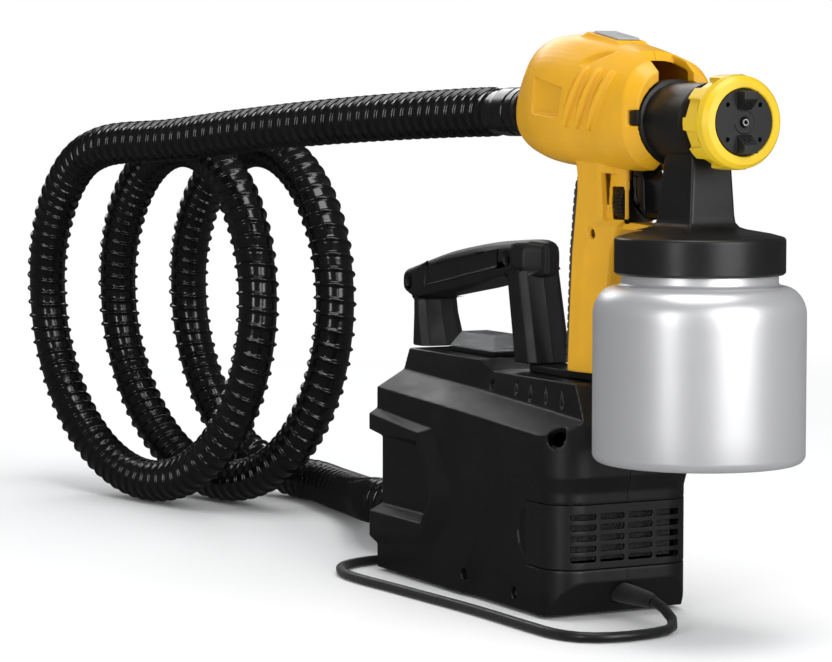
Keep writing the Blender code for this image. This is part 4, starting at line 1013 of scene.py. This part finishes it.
nut = turned(filleted([(20.2, -214.8), (25.0, -214.8), (26.2, -216.2), (26.2, -219), (26.2, -230.4), (25.6, -234.6), (23.2, -237.6), (19.2, -238), (18.6, -237.2), (18.6, -234.6), (20.2, -234.6)],
                      {1: 0.8, 2: 0.8, 4: 2.4, 5: 1.8, 6: 1.2, 7: 0.4}, 5, True), ax, "y", 144, True)
for k in range(9):
    pocket = loft([[(-5.2, -213.0, AZ + 23.2), (5.2, -213.0, AZ + 23.2), (6.4, -213.0, AZ + 30), (-6.4, -213.0, AZ + 30)],
                   [(-5.0, -217.6, AZ + 23.2), (5.0, -217.6, AZ + 23.2), (6.2, -217.6, AZ + 30), (-6.2, -217.6, AZ + 30)],
                   [(-4.6, -226.4, AZ + 23.6), (4.6, -226.4, AZ + 23.6), (5.8, -226.4, AZ + 30), (-5.8, -226.4, AZ + 30)],
                   [(-4.2, -229.6, AZ + 25.9), (4.2, -229.6, AZ + 25.9), (5.4, -230.6, AZ + 30), (-5.4, -230.6, AZ + 30)]])
    nut = cut(nut, tilted(pocket, 40 * k - 72, "Y", (0, 0, AZ)))
piece("lock_ring", rounded(nut, 0.35, 2, 30), "lemon", "ring_nut", ("ring_nut",), smooth=40)

cap = turned(filleted([(2.2, -231.6), (19.8, -231.6), (19.8, -234.2), (18.2, -234.3), (18.2, -237.4), (6.6, -237.4), (6.2, -237.9), (3.4, -237.9), (2.2, -237.2)], 0.2, 2, True), ax, "y", 96, True)
for s in (-1, 1):
    horn = frustum([(-4.8, AZ + s * 6.4), (4.8, AZ + s * 6.4), (4.8, AZ + s * 17.2), (-4.8, AZ + s * 17.2)],
                   [(-4.4, AZ + s * 12.4), (4.4, AZ + s * 12.4), (4.4, AZ + s * 16.8), (-4.4, AZ + s * 16.8)], "y", -236.8, -244.8)
    cap = join(cap, horn)
    for dx, dz in ((-1.9, 9.6), (1.9, 9.6), (0.0, 12.2)):
        cap = cut(cap, aimed(rod(0.65, -2, 4, (0, 0, 0), "z", 14), (dx, -240.6, AZ + s * dz), (0, -0.66, -0.75 * s)))
for sx in (-1, 1):
    for sz in (-1, 1):
        cap = cut(cap, rod(1.3, -250, -234, (sx * 10.5, 0, AZ + sz * 9.5), "y", 20))
piece("nozzle_cap", rounded(cap, 0.25, 2, 34), "front", "air_cap", ("air_cap",), smooth=40)

cup_profile = [(0, 101), (54.5, 101)]
for i in range(1, 13):
    a = math.pi / 2 * i / 12
    cup_profile.append((54.8 + 5.2 * math.sin(a), 106.2 - 5.2 * math.cos(a)))
cup_profile += [(60, 120), (60, 140), (60, 160), (60, 180)]
for i in range(1, 15):
    a = math.pi / 2 * i / 14
    cup_profile.append((60 - 13.6 * (1 - math.cos(a)), 184 + 16.6 * math.sin(a)))
cup_profile += [(45.4, 201.0), (44.5, 201.8), (44.2, 203.0), (44.2, 219.6), (42.9, 219.6), (42.9, 201.4), (46.2, 199.4)]
for i in range(1, 11):
    a = math.pi / 2 * (1 - i / 10)
    cup_profile.append((58.8 - 12.6 * (1 - math.cos(a)), 184 + 15.4 * math.sin(a)))
cup_profile += [(58.8, 107), (57.6, 103.8), (55, 102.3), (0, 102.3)]
piece("paint_can", turned(cup_profile, (0, CUP_Y, 0), "z", 160), "cup", "cup", ("paint_cup",), smooth=40, weighted=False)

# ---------------------------------------------------------- trigger and knob

trig_line = [(-131.8, 262), (-131.4, 270.6), (-137, 270.8), (-141.5, 265), (-144.6, 258), (-145.2, 249), (-146.0, 241), (-149.4, 236.4), (-146, 235.9), (-139, 237.4), (-135.4, 240.6), (-133.2, 246)]
trig_fine = interpolated(trig_line[2:9], 0, 3)
trig = prism([trig_line[0], trig_line[1]] + trig_fine + trig_line[9:], "x", -7.2, 7.2)
trig = cut(trig, rod(1.9, -20, 20, (0, -134.0, 266.5), "x", 20))
for s in (-1, 1):
    trig = cut(trig, prism([(-133.4, 250), (-134, 261), (-139.6, 261), (-142.2, 252), (-142.6, 243), (-136.2, 243.0)], "x", s * 5.8, s * 9))
piece("trigger_lever", rounded(trig, 0.9, 3, 30), "gloss", "trigger", ("trigger",), smooth=45)
knob = []
N = 72
for yy, r in ((-128.6, 12.6), (-128.0, 13.4), (-127.4, 13.6), (-120.6, 13.6), (-120.0, 13.4), (-119.4, 12.6)):
    ring = []
    for i in range(N * 2):
        a = math.pi * i / N
        q = r - (0.55 if i % 4 >= 2 and r > 13.3 else 0.0)
        ring.append((q * math.cos(a), yy, 245.0 + q * math.sin(a)))
    knob.append(ring)
piece("dose_knob", loft(knob), "black", "flow_knob", ("flow_knob",), smooth=30)
refined("lock_tab", "release_tab", "black", "gun", 0.3)

# --------------------------------- nodes that keep their CAD shape get finishes

PLAIN = {"air_filter": "foam", "foot_1": "rubber", "foot_2": "rubber", "foot_3": "rubber", "foot_4": "rubber", "motor_mount_ring": "rubber",
         "turbine_motor": "steel", "fan_housing": "black", "turbine_fan": "fan", "turbine_shaft": "steel", "fluid_nozzle": "steel",
         "air_distributor": "nylon", "fluid_needle": "steel", "needle_packing": "nylon", "needle_guide": "black", "needle_spring": "steel",
         "cup_gasket": "rubber", "pickup_tube": "nylon", "trigger_pin": "steel"}
for name, o in NODES.items():
    if name in DONE:
        continue
    mat = MAT[PLAIN.get(name, "black")]
    o.data.materials.clear()
    o.data.materials.append(mat)
    for p in o.data.polygons:
        p.material_index = 0

# ------------------------------------------------------------ floor and light

floor_m, nt, b, obj = start("studio_floor")
nt.links.new(mixed(nt, ranged(nt, noise(nt, obj, 3.0, 3.0), 0.0, 1.0), (0.88, 0.88, 0.88), (0.9, 0.9, 0.9)), b.inputs["Base Color"])
b.inputs["Roughness"].default_value = 0.8
b.inputs["Specular IOR Level"].default_value = 0.1
glow = nt.nodes.new("ShaderNodeEmission")
glow.inputs["Color"].default_value = (1, 1, 1, 1)
far = nt.nodes.new("ShaderNodeVectorMath")
far.operation = "LENGTH"
nt.links.new(obj, far.inputs[0])
sweep = nt.nodes.new("ShaderNodeMixShader")
nt.links.new(ranged(nt, far.outputs["Value"], 0.0, 1.0, 0.75, 1.9), sweep.inputs[0])
nt.links.new(b.outputs[0], sweep.inputs[1])
nt.links.new(glow.outputs[0], sweep.inputs[2])
path = nt.nodes.new("ShaderNodeLightPath")
dim = nt.nodes.new("ShaderNodeEmission")
dim.inputs["Color"].default_value = (1, 1, 1, 1)
dim.inputs["Strength"].default_value = 0.07
split = nt.nodes.new("ShaderNodeMixShader")
nt.links.new(path.outputs["Is Glossy Ray"], split.inputs[0])
nt.links.new(sweep.outputs[0], split.inputs[1])
nt.links.new(dim.outputs[0], split.inputs[2])
nt.links.new(split.outputs[0], nt.nodes["Material Output"].inputs["Surface"])
me = bpy.data.meshes.new("floor")
me.from_pydata([(-12, -12, 0), (12, -12, 0), (12, 12, 0), (-12, 12, 0)], [], [(0, 1, 2, 3)])
floor = bpy.data.objects.new("floor", me)
bpy.context.scene.collection.objects.link(floor)
me.materials.append(floor_m)

world = bpy.data.worlds.new("studio")
bpy.context.scene.world = world
world.use_nodes = True
wt = world.node_tree
wt.nodes.clear()
w_out = wt.nodes.new("ShaderNodeOutputWorld")
lp = wt.nodes.new("ShaderNodeLightPath")
w_mix = wt.nodes.new("ShaderNodeMixShader")
w_seen = wt.nodes.new("ShaderNodeBackground")
w_light = wt.nodes.new("ShaderNodeBackground")
w_seen.inputs["Color"].default_value = (1, 1, 1, 1)
w_seen.inputs["Strength"].default_value = 1.0
w_light.inputs["Color"].default_value = (0.97, 0.985, 1, 1)
w_light.inputs["Strength"].default_value = 0.62
wt.links.new(lp.outputs["Is Camera Ray"], w_mix.inputs[0])
wt.links.new(w_seen.outputs[0], w_mix.inputs[2])
w_dark = wt.nodes.new("ShaderNodeBackground")
w_dark.inputs["Color"].default_value = (0.97, 0.985, 1, 1)
w_dark.inputs["Strength"].default_value = 0.07
w_gloss = wt.nodes.new("ShaderNodeMixShader")
wt.links.new(lp.outputs["Is Glossy Ray"], w_gloss.inputs[0])
wt.links.new(w_light.outputs[0], w_gloss.inputs[1])
wt.links.new(w_dark.outputs[0], w_gloss.inputs[2])
wt.links.new(w_gloss.outputs[0], w_mix.inputs[1])
wt.links.new(w_mix.outputs[0], w_out.inputs["Surface"])


def softbox(name, at, aim, size, power, colour=(1, 1, 1)):
    d = bpy.data.lights.new(name, "AREA")
    d.shape = "RECTANGLE"
    d.size, d.size_y = size
    d.energy = power
    d.color = colour
    o = bpy.data.objects.new(name, d)
    o.location = at
    o.rotation_euler = (Vector(aim) - Vector(at)).to_track_quat("-Z", "Y").to_euler()
    bpy.context.scene.collection.objects.link(o)
    return o


softbox("key_top", (-0.1, -0.3, 2.0), (0, 0, 0.1), (1.2, 1.2), 19.0)
softbox("front", (0.24, -2.05, 0.7), (0, -0.1, 0.2), (1.4, 1.5), 26.0)
softbox("corner", (-1.78, -1.02, 0.45), (0, -0.05, 0.2), (0.3, 1.2), 8.0)
softbox("rear", (0.3, 1.9, 1.2), (0, 0.2, 0.2), (1.6, 0.6), 10.0)

scene = bpy.context.scene
scene.view_settings.view_transform = "Standard"
scene.view_settings.look = "None"
